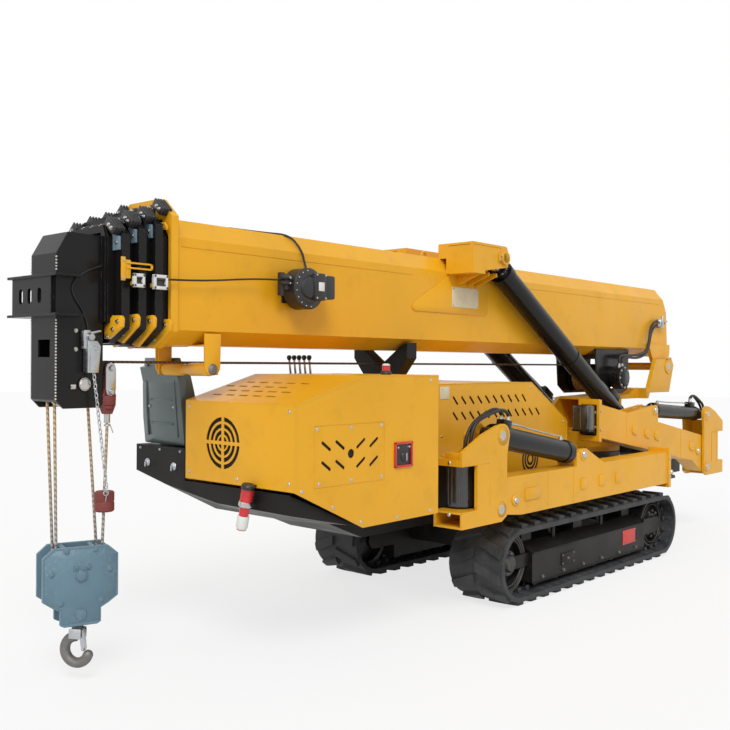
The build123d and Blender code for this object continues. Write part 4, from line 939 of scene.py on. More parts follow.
class CRANE_OT_cover_fittings(bpy.types.Operator):
    """Fit the screws, panel frame, key switch, painted shade behind the slots and lamps of both covers and
    the deck's latches
    """

    bl_idname = "crane.cover_fittings"
    bl_label = "Cover fittings"

    NEAR, FRONT = -0.780, -2.3745
    BEACON = (-1.390, -0.500)
    TANK_SIDE = 0.400

    def execute(self, context):
        near = self.NEAR
        parts = bmesh.new()
        screw = [(0, 0.004), (0.004, 0.004), (0.008, 0.002), (0.010, 0.0), (0, 0)]
        for x, z in ((-2.322, 0.896), (-2.111, 0.799), (-1.904, 0.704), (-1.621, 0.696), (-1.337, 0.699),
                     (-1.337, 1.415), (-2.220, 1.185), (-1.981, 1.185), (-1.749, 1.185), (-2.207, 0.922),
                     (-1.977, 0.922), (-1.747, 0.922)):
            join(parts, turned(screw, (x, near - 0.0005, z), NEARWARD, 20))
        for y, z in ((-0.745, 0.935), (-0.745, 1.275), (0.010, 0.935), (0.010, 1.275), (-0.370, 0.925)):
            join(parts, turned(screw, (self.FRONT, y, z), FORWARD, 20))
        piece("cover_screws", parts, "chassis", ["bare_steel"])
        # frame round the removable side panel, and the folded edges of the front and side sheets
        parts = bmesh.new()
        rim = [(-2.240, 0.904), (-2.240, 1.203), (-1.728, 1.203), (-1.728, 0.904)]
        for (x, z), (end_x, end_z) in zip(rim, rim[1:] + rim[:1]):
            join(parts, rod((x, near, z), (end_x, near, end_z), 0.0022, 8, 0))
        edge = [(-2.370, 0.900), (-2.370, 1.303), (-1.890, 1.438), (-1.268, 1.438)]
        for (x, z), (end_x, end_z) in zip(edge, edge[1:]):
            join(parts, rod((x, near + 0.003, z), (end_x, near + 0.003, end_z), 0.0045, 10, 0))
        for z in (0.900, 1.303):
            join(parts, rod((-2.3705, near + 0.003, z), (-2.3705, 0.040, z), 0.0045, 10, 0))
        for x in (-1.5615, -1.2712):
            join(parts, rod((x, near + 0.002, 1.4405), (x, 0.040, 1.4405), 0.003, 8, 0))
        piece("cover_edges", parts, "chassis", ["yellow_paint"])
        self.key_box()
        self.slot_shade()
        self.lamps()
        self.tank_details()
        self.latches()
        return {"FINISHED"}

    def key_box(self):
        """Red frame, black plate, key switch and its two screws on the near side."""
        near = self.NEAR
        parts = bmesh.new()
        low, high = (-1.650, 0.955), (-1.502, 1.090)
        for x, end in ((low[0], low[0] + 0.013), (high[0] - 0.013, high[0])):
            join(parts, box((x, near - 0.012, low[1]), (end, near, high[1]), 0.004))
        for z, end in ((low[1], low[1] + 0.013), (high[1] - 0.013, high[1])):
            join(parts, box((low[0], near - 0.012, z), (high[0], near, end), 0.004))
        join(parts, box((low[0] + 0.010, near - 0.003, low[1] + 0.010),
                        (high[0] - 0.010, near, high[1] - 0.010), 0.001), 1)
        join(parts, boss([(0.026, 0.008), (0.030, 0.003), (0.030, 0)], (-1.565, near - 0.003, 1.010),
                         NEARWARD, 32), 1)
        join(parts, box((-1.569, near - 0.020, 0.990), (-1.561, near - 0.010, 1.030), 0.002), 2)
        for x in (-1.622, -1.530):
            join(parts, boss([(0.006, 0.006), (0.008, 0.002), (0.008, 0)], (x, near - 0.003, 1.062),
                             NEARWARD, 16), 2)
        piece("key_switch_box", parts, "chassis", ["lamp_red", "reel_plastic", "bare_steel"])

    def slot_shade(self):
        """Dark sheets behind the slots, which paint the shade inside the covers."""
        parts = bmesh.new()
        join(parts, box((-2.364, -0.430, 0.930), (-2.360, -0.090, 1.270), 0.001))
        join(parts, box((-2.235, -0.772, 0.910), (-1.730, -0.768, 1.190), 0.001))
        front_top, roof_top, run = 1.307, 1.442, 0.483
        slope = math.atan2(roof_top - front_top, run)
        top = box((-2.310, -0.570, -0.002), (-2.000, 0.020, 0.002), 0.001)
        bmesh.ops.translate(top, vec=(2.155, 0, 0), verts=top.verts)
        spot = (-2.155, 0, front_top + 0.219 * math.tan(slope) - 0.014)
        turn = Matrix.Translation(spot) @ Matrix.Rotation(-slope, 4, "Y")
        join(parts, top, place=turn)
        for side in SIDES.values():
            join(parts, box((-0.640, side * 0.384, 1.130), (0.500, side * 0.388, 1.310), 0.001))
        piece("cover_slot_shade", parts, "chassis", ["painted_shade_black"])

    def lamps(self):
        """Collar and cap of the beacon on the cover, and the lamp that hangs at the nose."""
        parts = bmesh.new()
        join(parts, boss([(0.030, 0.0), (0.032, 0.006), (0.029, 0.018), (0.024, 0.022)],
                         (*self.BEACON, 1.4415), UP, 32), 1)
        join(parts, turned([(0, 0.008), (0.016, 0.007), (0.0235, 0.0), (0.0235, -0.004), (0, -0.004)],
                           (*self.BEACON, 1.497), UP, 32))
        # nose lamp: ringed red lens, chrome collar and a milky tip, on a bracket under the cover
        upper, middle, lower = (Vector((-2.410, y, z))
                                for y, z in ((-0.500, 0.905), (-0.480, 0.819), (-0.450, 0.690)))
        along = (lower - upper).normalized()
        join(parts, turned([(0, -0.002), (0.027, -0.002), (0.029, 0.004), (0.029, 0.055), (0.024, 0.066),
                            (0.013, 0.073), (0, 0.075)], lower - along * 0.070, along, 32))
        join(parts, boss([(0.033, -0.008), (0.035, 0.0), (0.035, 0.014), (0.030, 0.020)],
                         middle - along * 0.006, along, 32), 2)
        join(parts, boss([(0.030, -0.010), (0.034, -0.004), (0.034, 0.012)], upper, along, 32), 1)
        for step in range(5):
            join(parts, ring(upper + along * (0.022 + step * 0.012), along, 0.0300, 0.0022, 32, 8), 3)
        join(parts, box((-2.420, -0.520, 0.898), (-2.366, -0.480, 0.910), 0.003), 1)
        piece("lamp_details", parts, "chassis", ["white_plastic", "reel_plastic", "bare_steel", "lamp_red"])

    def tank_details(self):
        """Screws and folded edges of the tank's cover, its blank plate and its round vents."""
        parts = bmesh.new()
        face = -self.TANK_SIDE
        for x, z in ((-0.735, 1.345), (-0.735, 1.05), (-0.735, 0.75), (0.300, 1.345), (0.760, 1.085),
                     (0.780, 0.75)):
            for side in SIDES.values():
                join(parts, boss([(0.004, 0.004), (0.009, 0.0)], (x, side * (self.TANK_SIDE + 0.0005), z),
                                 (0, side, 0), 16), 1)
        edge = [(-0.768, 0.70), (-0.768, 1.378), (0.320, 1.378), (0.818, 1.088), (0.818, 0.70)]
        for side in SIDES.values():
            for (x, z), (end_x, end_z) in zip(edge, edge[1:]):
                join(parts, rod((x, side * (self.TANK_SIDE - 0.002), z),
                                (end_x, side * (self.TANK_SIDE - 0.002), end_z), 0.004, 10, 0))
        piece("tank_edges", parts, "chassis", ["yellow_paint", "bare_steel"])
        parts = bmesh.new()
        join(parts, box((-0.755, face - 0.003, 1.283), (-0.660, face, 1.362), 0.001))
        piece("tank_blank_plate", parts, "chassis", ["plate_cream"])
        # round vent low in each side: three dark rings paint the shade inside its openings
        parts = bmesh.new()
        for radius in (0.035, 0.066, 0.097):
            for side in SIDES.values():
                vent = sleeve([(radius - 0.009, 0.0), (radius + 0.009, 0.0), (radius + 0.009, 0.0012),
                               (radius - 0.009, 0.0012)],
                              (0.305, side * self.TANK_SIDE, 0.835), (0, side, 0), 40)
                join(parts, vent)
        piece("tank_vent", parts, "chassis", ["painted_shade_black"])

    def latches(self):
        """Two round latches and three bolts on the deck's front."""
        parts = bmesh.new()
        for y, z in ((0.395, 0.953), (0.158, 0.947)):
            join(parts, boss([(0.010, 0.010), (0.018, 0.006), (0.022, 0.0)], (-2.366, y, z), FORWARD, 28))
            join(parts, box((-2.384, y - 0.006, z - 0.024), (-2.372, y + 0.006, z + 0.004), 0.003))
        for y in (0.100, 0.280, 0.460):
            join(parts, bolt((-2.366, y, 1.030), FORWARD, 0.006))
        piece("deck_latches", parts, "chassis", ["zinc"])


class CRANE_OT_operator_station(bpy.types.Operator):
    """Make the moulded seat in its wrap, and fit the lever bank"""

    bl_idname = "crane.operator_station"
    bl_label = "Seat and levers"

    def execute(self, context):
        self.seat()
        self.levers()
        return {"FINISHED"}

    def pad(self, low, high, crown, roundness):
        """Crowned closed cushion: a fine box whose faces swell and whose sides pull in."""
        part = bmesh.new()
        bmesh.ops.create_cube(part, size=2.0)
        bmesh.ops.subdivide_edges(part, edges=part.edges[:], cuts=13, use_grid_fill=True)
        low, high = Vector(low), Vector(high)
        half = (high - low) / 2
        centre = (high + low) / 2
        for corner in part.verts:
            unit = corner.co.copy()
            full = unit.normalized() * max(abs(unit.x), abs(unit.y), abs(unit.z))
            unit = unit.lerp(full, roundness)
            swell = (1 - min(1.0, unit.x * unit.x)) * (1 - min(1.0, unit.y * unit.y))
            unit.z *= 1 + crown * swell
            corner.co = Vector((unit.x * half.x, unit.y * half.y, unit.z * half.z)) + centre
        return part

    def seat(self):
        """Seat and back pads with their seam, and the shell behind and under them."""
        middle_y, seam_z = 0.293, 1.1635
        parts = bmesh.new()
        join(parts, self.pad((-2.232, 0.097, 1.070), (-1.856, 0.483, 1.168), 0.16, 0.16))
        seam = [(-2.205, 0.118), (-1.880, 0.118), (-1.880, 0.462), (-2.205, 0.462), (-2.205, 0.118)]
        for (x, y), (end_x, end_y) in zip(seam, seam[1:]):
            join(parts, rod((x, y, seam_z), (end_x, end_y, seam_z), 0.0022, 8, 0), 1)
        back = self.pad((-0.045, 0.125, 0.0), (0.045, 0.462, 0.340), 0.0, 0.10)
        lean = Matrix.Translation((-2.250, 0, 1.165)) @ Matrix.Rotation(math.radians(-15), 4, "Y")
        join(parts, back, place=lean)
        made = piece("seat_pads", parts, "chassis", ["seat_plastic", "hose_rubber"])
        # moulded shell: a hollow-looking tray behind the back pad, with pressed ribs, and the seat pan
        parts = bmesh.new()
        side = [(-2.330, 1.056), (-2.286, 1.056), (-2.262, 1.180), (-2.306, 1.360), (-2.338, 1.528),
                (-2.352, 1.530), (-2.357, 1.380), (-2.345, 1.200)]
        shell = plate(side, 0.112, 0.474, "y", 0.010)
        for corner in shell.verts:
            share = max(0.0, (corner.co.z - 1.25) / 0.28)
            corner.co.y = middle_y + (corner.co.y - middle_y) * (1 - 0.13 * share)
        join(parts, shell)
        for y in (0.160, 0.426):
            join(parts, pipe([(-2.338, y, 1.10), (-2.3495, y, 1.24), (-2.3575, y * 0.96 + 0.012, 1.38),
                              (-2.3535, y * 0.93 + 0.020, 1.50)], 0.006))
        for z, x in ((1.475, -2.3555), (1.300, -2.3515), (1.170, -2.3440)):
            join(parts, rod((x, 0.195, z), (x, 0.392, z), 0.005, 10, 0.001))
        join(parts, box((-2.235, 0.102, 1.050), (-1.862, 0.478, 1.085), 0.012))
        for y in (0.180, 0.400):
            join(parts, bolt((-2.350, y, 1.262), FORWARD, 0.006), 1)
        shell_piece = piece("seat_shell", parts, "chassis", ["seat_plastic", "bare_steel"])
        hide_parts("operator_seat")

    def levers(self):
        """Five levers with boots and knobs, on the bank's folded top."""
        count, first_y, pitch = 5, 0.100, 0.044
        parts = bmesh.new()
        for index in range(count):
            y = first_y + index * pitch
            join(parts, boss([(0.016, 0.0), (0.015, 0.008), (0.011, 0.012), (0.012, 0.020), (0.008, 0.030)],
                             (-1.390, y, 1.400), (-0.14, 0, 1), 20), 1)
            join(parts, rod((-1.3925, y, 1.418), (-1.4090, y, 1.524), 0.0068, 14, 0))
            join(parts, turned([(0, -0.016), (0.008, -0.016), (0.0148, -0.004), (0.0148, 0.006),
                                (0.009, 0.0148), (0, 0.0152)], (-1.410, y, 1.538), UP, 24), 1)
        piece("lever_stems", parts, "chassis", ["bare_steel", "reel_plastic"])
        parts = bmesh.new()
        join(parts, box((-1.486, 0.054, 1.398), (-1.304, 0.326, 1.404), 0.002))
        join(parts, box((-1.486, 0.054, 1.060), (-1.481, 0.326, 1.398), 0.002))
        for z in (1.10, 1.36):
            for y in (0.075, 0.305):
                join(parts, bolt((-1.486, y, z), FORWARD, 0.005), 1)
        piece("lever_console", parts, "chassis", ["yellow_paint", "bare_steel"])


class CRANE_OT_outrigger_fittings(bpy.types.Operator):
    """Fit the pin caps, pads, seams, lock pins, hoses and wrapped posts of the four outriggers"""

    bl_idname = "crane.outrigger_fittings"
    bl_label = "Outrigger fittings"

    # lengths along the arm and heights, in the outrigger's own frame; slope is the arm's rise
    ROWS = {
        "front": dict(post=(-0.890, 0.650), along=1, slope=0.0, middle=0.688, end=2.685, barrel=0.073,
                      lower=(0.229, 0.629), upper=(0.239, 1.073), ear=(1.278, 0.888), lock=(0.414, 0.662),
                      mouth=(0.654, 0.914), back=-0.180, seams=(0.810, 1.141),
                      pads=((0.615, 0.686, 0.172), (1.280, 0.687, 0.080), (1.539, 0.688, 0.080),
                            (1.790, 0.686, 0.080))),
        "rear": dict(post=(3.190, 0.460), along=-1, slope=9.8, middle=0.773, end=2.240, barrel=0.060,
                     lower=(0.224, 0.589), upper=(0.223, 1.067), ear=(1.252, 1.134), lock=(0.374, 0.742),
                     mouth=(0.628, 0.897), back=-0.155, seams=(0.733, 1.770),
                     pads=((0.504, 0.792, 0.090), (1.218, 0.922, 0.080), (1.400, 0.950, 0.080),
                           (1.627, 0.988, 0.080))),
    }
    ARM_V, ARM_FACE, PLATE_FACE = 0.050, 0.125, 0.152
    ARM_HALF, DATUM_U = 0.124, 0.400
    # how far the pins stand out of the outer plate; the front ones end at the machine's full width
    PROUD = {"front": 0.0008, "rear": 0.016}
    # the valve block's two fittings: their shifts along the cylinder and across it
    FITTINGS = ((-0.022, -0.012), (0.022, 0.012))

    def execute(self, context):
        for name, row in self.ROWS.items():
            for side_name, side in SIDES.items():
                self.outrigger(f"{name}_{side_name}", row, side)
        return {"FINISHED"}

    def outrigger(self, name, row, side):
        post_x, post_y = row["post"]
        place = Matrix.Translation((post_x, side * post_y, 0)) @ Matrix.Diagonal((row["along"], side, 1, 1))
        self.post(name, row, place)
        self.knuckle(name, row, place)
        self.arm(name, row, place)
        self.leg(name, row, place)
        self.cylinder(name, row, place)

    def middle(self, row, u):
        """Height of the arm's middle line at a length along it."""
        return row["middle"] + (u - self.DATUM_U) * math.tan(math.radians(row["slope"]))

    def post(self, name, row, place):
        """Post in its film, with beads at both ends and five upright lighter film edges that paint the
        film's highlights.
        """
        low, high = row["mouth"][0] + 0.010, row["mouth"][1] - 0.010
        parts = bmesh.new()
        profile = [(0.0955, 0.0), (0.0985, 0.0), (0.0990, 0.006), (0.0975, 0.020),
                   (0.0975, high - low - 0.020), (0.0990, high - low - 0.006), (0.0985, high - low),
                   (0.0955, high - low), (0.0955, 0.0)]
        join(parts, turned(profile, (0, 0, low), UP, 56), place=place)
        # painted highlights: five upright lines in the lighter film finish down the post
        for index in range(5):
            angle = math.radians(115 + index * 17 + 6 * math.sin(index * 2.3))
            x, y = 0.0978 * math.cos(angle), 0.0978 * math.sin(angle)
            join(parts, rod((x, y, low + 0.01), (x * 1.004, y * 1.004, high - 0.01), 0.0022, 8, 0), 1, place)
        piece(f"{name}_post_film", parts, "chassis", ["film_black", "film_edge_highlight"])

    def knuckle(self, name, row, place):
        """Pin caps on both plates, ribs and rims of the mouth, and the web over it."""
        parts = bmesh.new()
        face = self.PLATE_FACE
        # inner plate: past the arm's half-width, the gap beside it and the plate itself
        inner = self.ARM_V - 0.075 - 0.005 - 0.022
        proud = self.PROUD[name.split("_")[0]]
        for (u, z), collar in ((row["lower"], 0.048), (row["upper"], 0.058)):
            join(parts, boss([(collar - 0.003, proud * 0.4), (collar, 0.0)],
                             (u, face, z), ACROSS, 40), place=place)
            join(parts, boss([(0.022, proud), (0.028, proud * 0.7), (0.029, 0.0)],
                             (u, face, z), ACROSS, 32), 1, place)
            join(parts, boss([(0.024, 0.012), (0.030, 0.004), (0.030, 0.0)], (u, inner - 0.004, z),
                             (0, -1, 0), 28), 1, place)
        low, high = row["mouth"]
        back = row["back"]
        # upright ribs beside the mouth, the rim over it and the web up to the cylinder's pin
        rim = min(proud, 0.005)
        for u in (-0.022, 0.104):
            join(parts, box((u - 0.005, face - 0.002, low + 0.002), (u + 0.005, face + rim, high - 0.002),
                            0.002), place=place)
        join(parts, box((back + 0.002, face - 0.001, high + 0.002), (0.104, face + rim, high + 0.010),
                        0.002), place=place)
        top = row["upper"][1]
        join(parts, plate([(-0.140, high + 0.038), (0.040, high + 0.038), (0.150, top - 0.080),
                           (0.130, top - 0.050), (0.0, high + 0.075), (-0.140, high + 0.060)],
                          -0.020, -0.012, "y", 0.002), place=place)
        join(parts, box((back + 0.012, 0.020, high + 0.038), (back + 0.030, 0.130, high + 0.078),
                        0.004), place=place)
        for z in (high + 0.020, low - 0.020) if row["along"] > 0 else ():
            join(parts, boss([(0.008, 0.006), (0.012, 0.0)], (back, 0.060, z), (-1, 0, 0), 20), 1, place)
        for v in (0.010, 0.110):
            join(parts, bolt((0.0 if v < 0.05 else -0.06, v, high + 0.040), UP, 0.008), 1, place)
        piece(f"{name}_knuckle_trim", parts, f"{name}_knuckle", ["yellow_paint", "bare_steel"])

    def arm(self, name, row, place):
        """Pressed pads, seams, lock pin, the ears' pin caps and the wear strips in the open end."""
        parts = bmesh.new()
        face = self.ARM_FACE
        slope = Matrix.Rotation(-math.radians(row["slope"]), 4, "Y")
        for u, z, length in row["pads"]:
            half = length / 2
            pad = plate([(-half, -0.038), (half - 0.014, -0.038), (half + 0.006, -0.018),
                         (half + 0.006, 0.018), (half - 0.014, 0.038), (-half, 0.038)],
                        -0.004, 0.010, "y", 0.005)
            join(parts, pad, place=place @ Matrix.Translation((u, face, z)) @ slope)
        for u in row["seams"]:
            z = self.middle(row, u)
            half = self.ARM_HALF / math.cos(math.radians(row["slope"])) - 0.004
            join(parts, rod((u, face, z - half), (u, face, z + half), 0.0028, 8, 0), place=place)
            join(parts, rod((u, -0.020, z + half + 0.003), (u, 0.120, z + half + 0.003), 0.0028, 8, 0),
                 place=place)
        # lock pin boss and the ears' pin caps
        u, z = row["lock"]
        join(parts, boss([(0.030, 0.012), (0.036, 0.004), (0.036, 0.0)],
                         (u, face, z), ACROSS, 32), place=place)
        join(parts, boss([(0.018, 0.020), (0.023, 0.012), (0.023, 0.0)], (u, face, z), ACROSS, 28), 1, place)
        u, z = row["ear"]
        for v, out in ((face, 1), (-0.025, -1)):
            join(parts, boss([(0.040, 0.006), (0.044, 0.0)], (u, v, z), (0, out, 0), 32), place=place)
            join(parts, boss([(0.020, 0.018), (0.026, 0.010), (0.026, 0.0)],
                             (u, v, z), (0, out, 0), 28), 1, place)
        # wear strips in the open end, with their screws
        end, half = row["end"], self.ARM_HALF - 0.012
        z = self.middle(row, end - 0.01)
        for v in (-0.012, 0.104):
            join(parts, box((end - 0.030, v, z - 0.060), (end + 0.004, v + 0.008, z + 0.060),
                            0.002), 2, place)
        for shift in (-0.070, 0.070):
            join(parts, bolt((end - 0.020, face + 0.012, z + shift), ACROSS, 0.009), 1, place)
            join(parts, bolt((end - 0.020, -0.037, z + shift), (0, -1, 0), 0.009), 1, place)
        piece(f"{name}_arm_trim", parts, f"{name}_arm", ["yellow_paint", "bare_steel", "reel_plastic"])

    def leg(self, name, row, place):
        """Bolts and foot pin of the leg, the rear one's wrap, and the pad under the foot."""
        end = row["end"] + 0.030
        z = self.middle(row, end)
        parts = bmesh.new()
        for v, out in ((0.110, 1), (-0.010, -1)):
            for shift in (-0.055, 0.055):
                join(parts, bolt((end - 0.012, v, z + shift), (0, out, 0), 0.009), place=place)
        pin_z = self.middle(row, end + 0.05) - 0.048
        for v, out in ((0.105, 1), (-0.005, -1)):
            join(parts, boss([(0.018, 0.010), (0.022, 0.004), (0.022, 0.0)], (end + 0.05, v, pin_z),
                             (0, out, 0), 28), place=place)
        piece(f"{name}_leg_bolts", parts, f"{name}_leg", ["bare_steel"])
        if row["along"] < 0:
            parts = bmesh.new()
            z = self.middle(row, end + 0.03)
            wrap = box((end - 0.004, self.ARM_V - 0.069, z - 0.090),
                       (end + 0.098, self.ARM_V + 0.069, z + 0.104), 0.016)
            join(parts, wrap, place=place)
            # painted highlights: three upright lines in the lighter film finish on the wrap's end
            for v in (-0.060, 0.0, 0.060):
                join(parts, rod((end + 0.097, self.ARM_V + v, z - 0.070),
                                (end + 0.097, self.ARM_V + v * 0.9, z + 0.090), 0.003, 8, 0), 1, place)
            piece(f"{name}_leg_film", parts, f"{name}_leg", ["film_black", "film_edge_highlight"])
        parts = bmesh.new()
        for shift in (-0.060, 0.0, 0.060):
            join(parts, rod((end - 0.001, self.ARM_V - 0.050, z + shift),
                            (end - 0.001, self.ARM_V + 0.050, z + shift + 0.002), 0.004, 10, 0), place=place)
        foot = self.middle(row, end + 0.05) - 0.096
        join(parts, box((end + 0.012, self.ARM_V - 0.066, foot + 0.018),
                        (end + 0.092, self.ARM_V + 0.066, foot + 0.024), 0.002), place=place)
        piece(f"{name}_foot_pad", parts, f"{name}_leg", ["rubber"])

    def cylinder(self, name, row, place):
        """Gland, ports, hard line and hoses of the outrigger's cylinder."""
        start, end = (Vector((row[pin][0], self.ARM_V, row[pin][1])) for pin in ("upper", "ear"))
        along = (end - start).normalized()
        upward = Vector((-along.z, 0, along.x)) * (1 if along.x > 0 else -1)
        length = (end - start).length
        radius = row["barrel"]
        gland = start + along * (length - 0.106)
        parts = bmesh.new()
        for index in range(8):
            angle = index * math.pi / 4 + 0.2
            spoke = Vector(ACROSS) * math.cos(angle) + upward * math.sin(angle)
            join(parts, bolt(gland + spoke * (radius - 0.012), along, 0.007), place=place)
        join(parts, sleeve([(0.030, 0.0), (0.040, 0.0), (0.042, 0.004), (0.038, 0.012), (0.030, 0.012)],
                           gland, along, 40), place=place)
        join(parts, sleeve([(radius - 0.01, 0.0), (radius + 0.004, 0.0), (radius + 0.006, 0.006),
                            (radius + 0.004, 0.012), (radius - 0.01, 0.012)],
                           start + along * 0.060, along, 48), 1, place)
        # valve block and two fittings on top of the tube
        block_at = start + along * 0.150 + upward * radius
        block = box((-0.045, -0.030, -0.010), (0.045, 0.030, 0.040), 0.004)
        frame_turn = Matrix((along, Vector(ACROSS), upward)).transposed().to_4x4()
        join(parts, block, 1, place @ Matrix.Translation(block_at) @ frame_turn)
        for shift, aside in self.FITTINGS:
            fitting = boss([(0.013, 0.0), (0.013, 0.014), (0.009, 0.016), (0.009, 0.034)],
                           (shift, aside, 0.038), UP, 6)
            join(parts, fitting, place=place @ Matrix.Translation(block_at) @ frame_turn)
        far_port = start + along * (length - 0.200) + upward * (radius - 0.004)
        join(parts, boss([(0.016, 0.0), (0.016, 0.016), (0.010, 0.018), (0.010, 0.030)],
                         far_port, upward, 20), place=place)
        join(parts, pipe([block_at + upward * 0.020 + along * 0.045,
                          block_at + upward * 0.030 + along * 0.12, block_at + upward * 0.022 + along * 0.30,
                          far_port + upward * 0.022 - along * 0.10, far_port + upward * 0.026],
                         0.0055), place=place)
        piece(f"{name}_cylinder_trim", parts, f"{name}_barrel", ["zinc", "black_paint"])
        # hoses from the post's top to the valve block
        parts = bmesh.new()
        mouth_top = row["mouth"][1] + 0.040
        for index, (shift, aside) in enumerate(self.FITTINGS):
            target = block_at + along * shift + upward * 0.068 + Vector((0, aside, 0))
            v = 0.030 + index * 0.026
            hose = [(0.010 + index * 0.020, v, mouth_top), (0.012 + index * 0.020, v, mouth_top + 0.090),
                    (0.070, v, start.z + 0.060 + index * 0.012), (0.160, v + 0.006, start.z + 0.115),
                    tuple(target + upward * 0.050 - along * 0.04), tuple(target)]
            join(parts, pipe(hose, settings().hose), place=place)
            join(parts, boss([(0.014, 0.0), (0.014, 0.012), (0.012, 0.014), (0.012, 0.030)], hose[0],
                             UP, 6), 1, place)
        piece(f"{name}_hoses", parts, f"{name}_knuckle", ["hose_rubber", "zinc"])


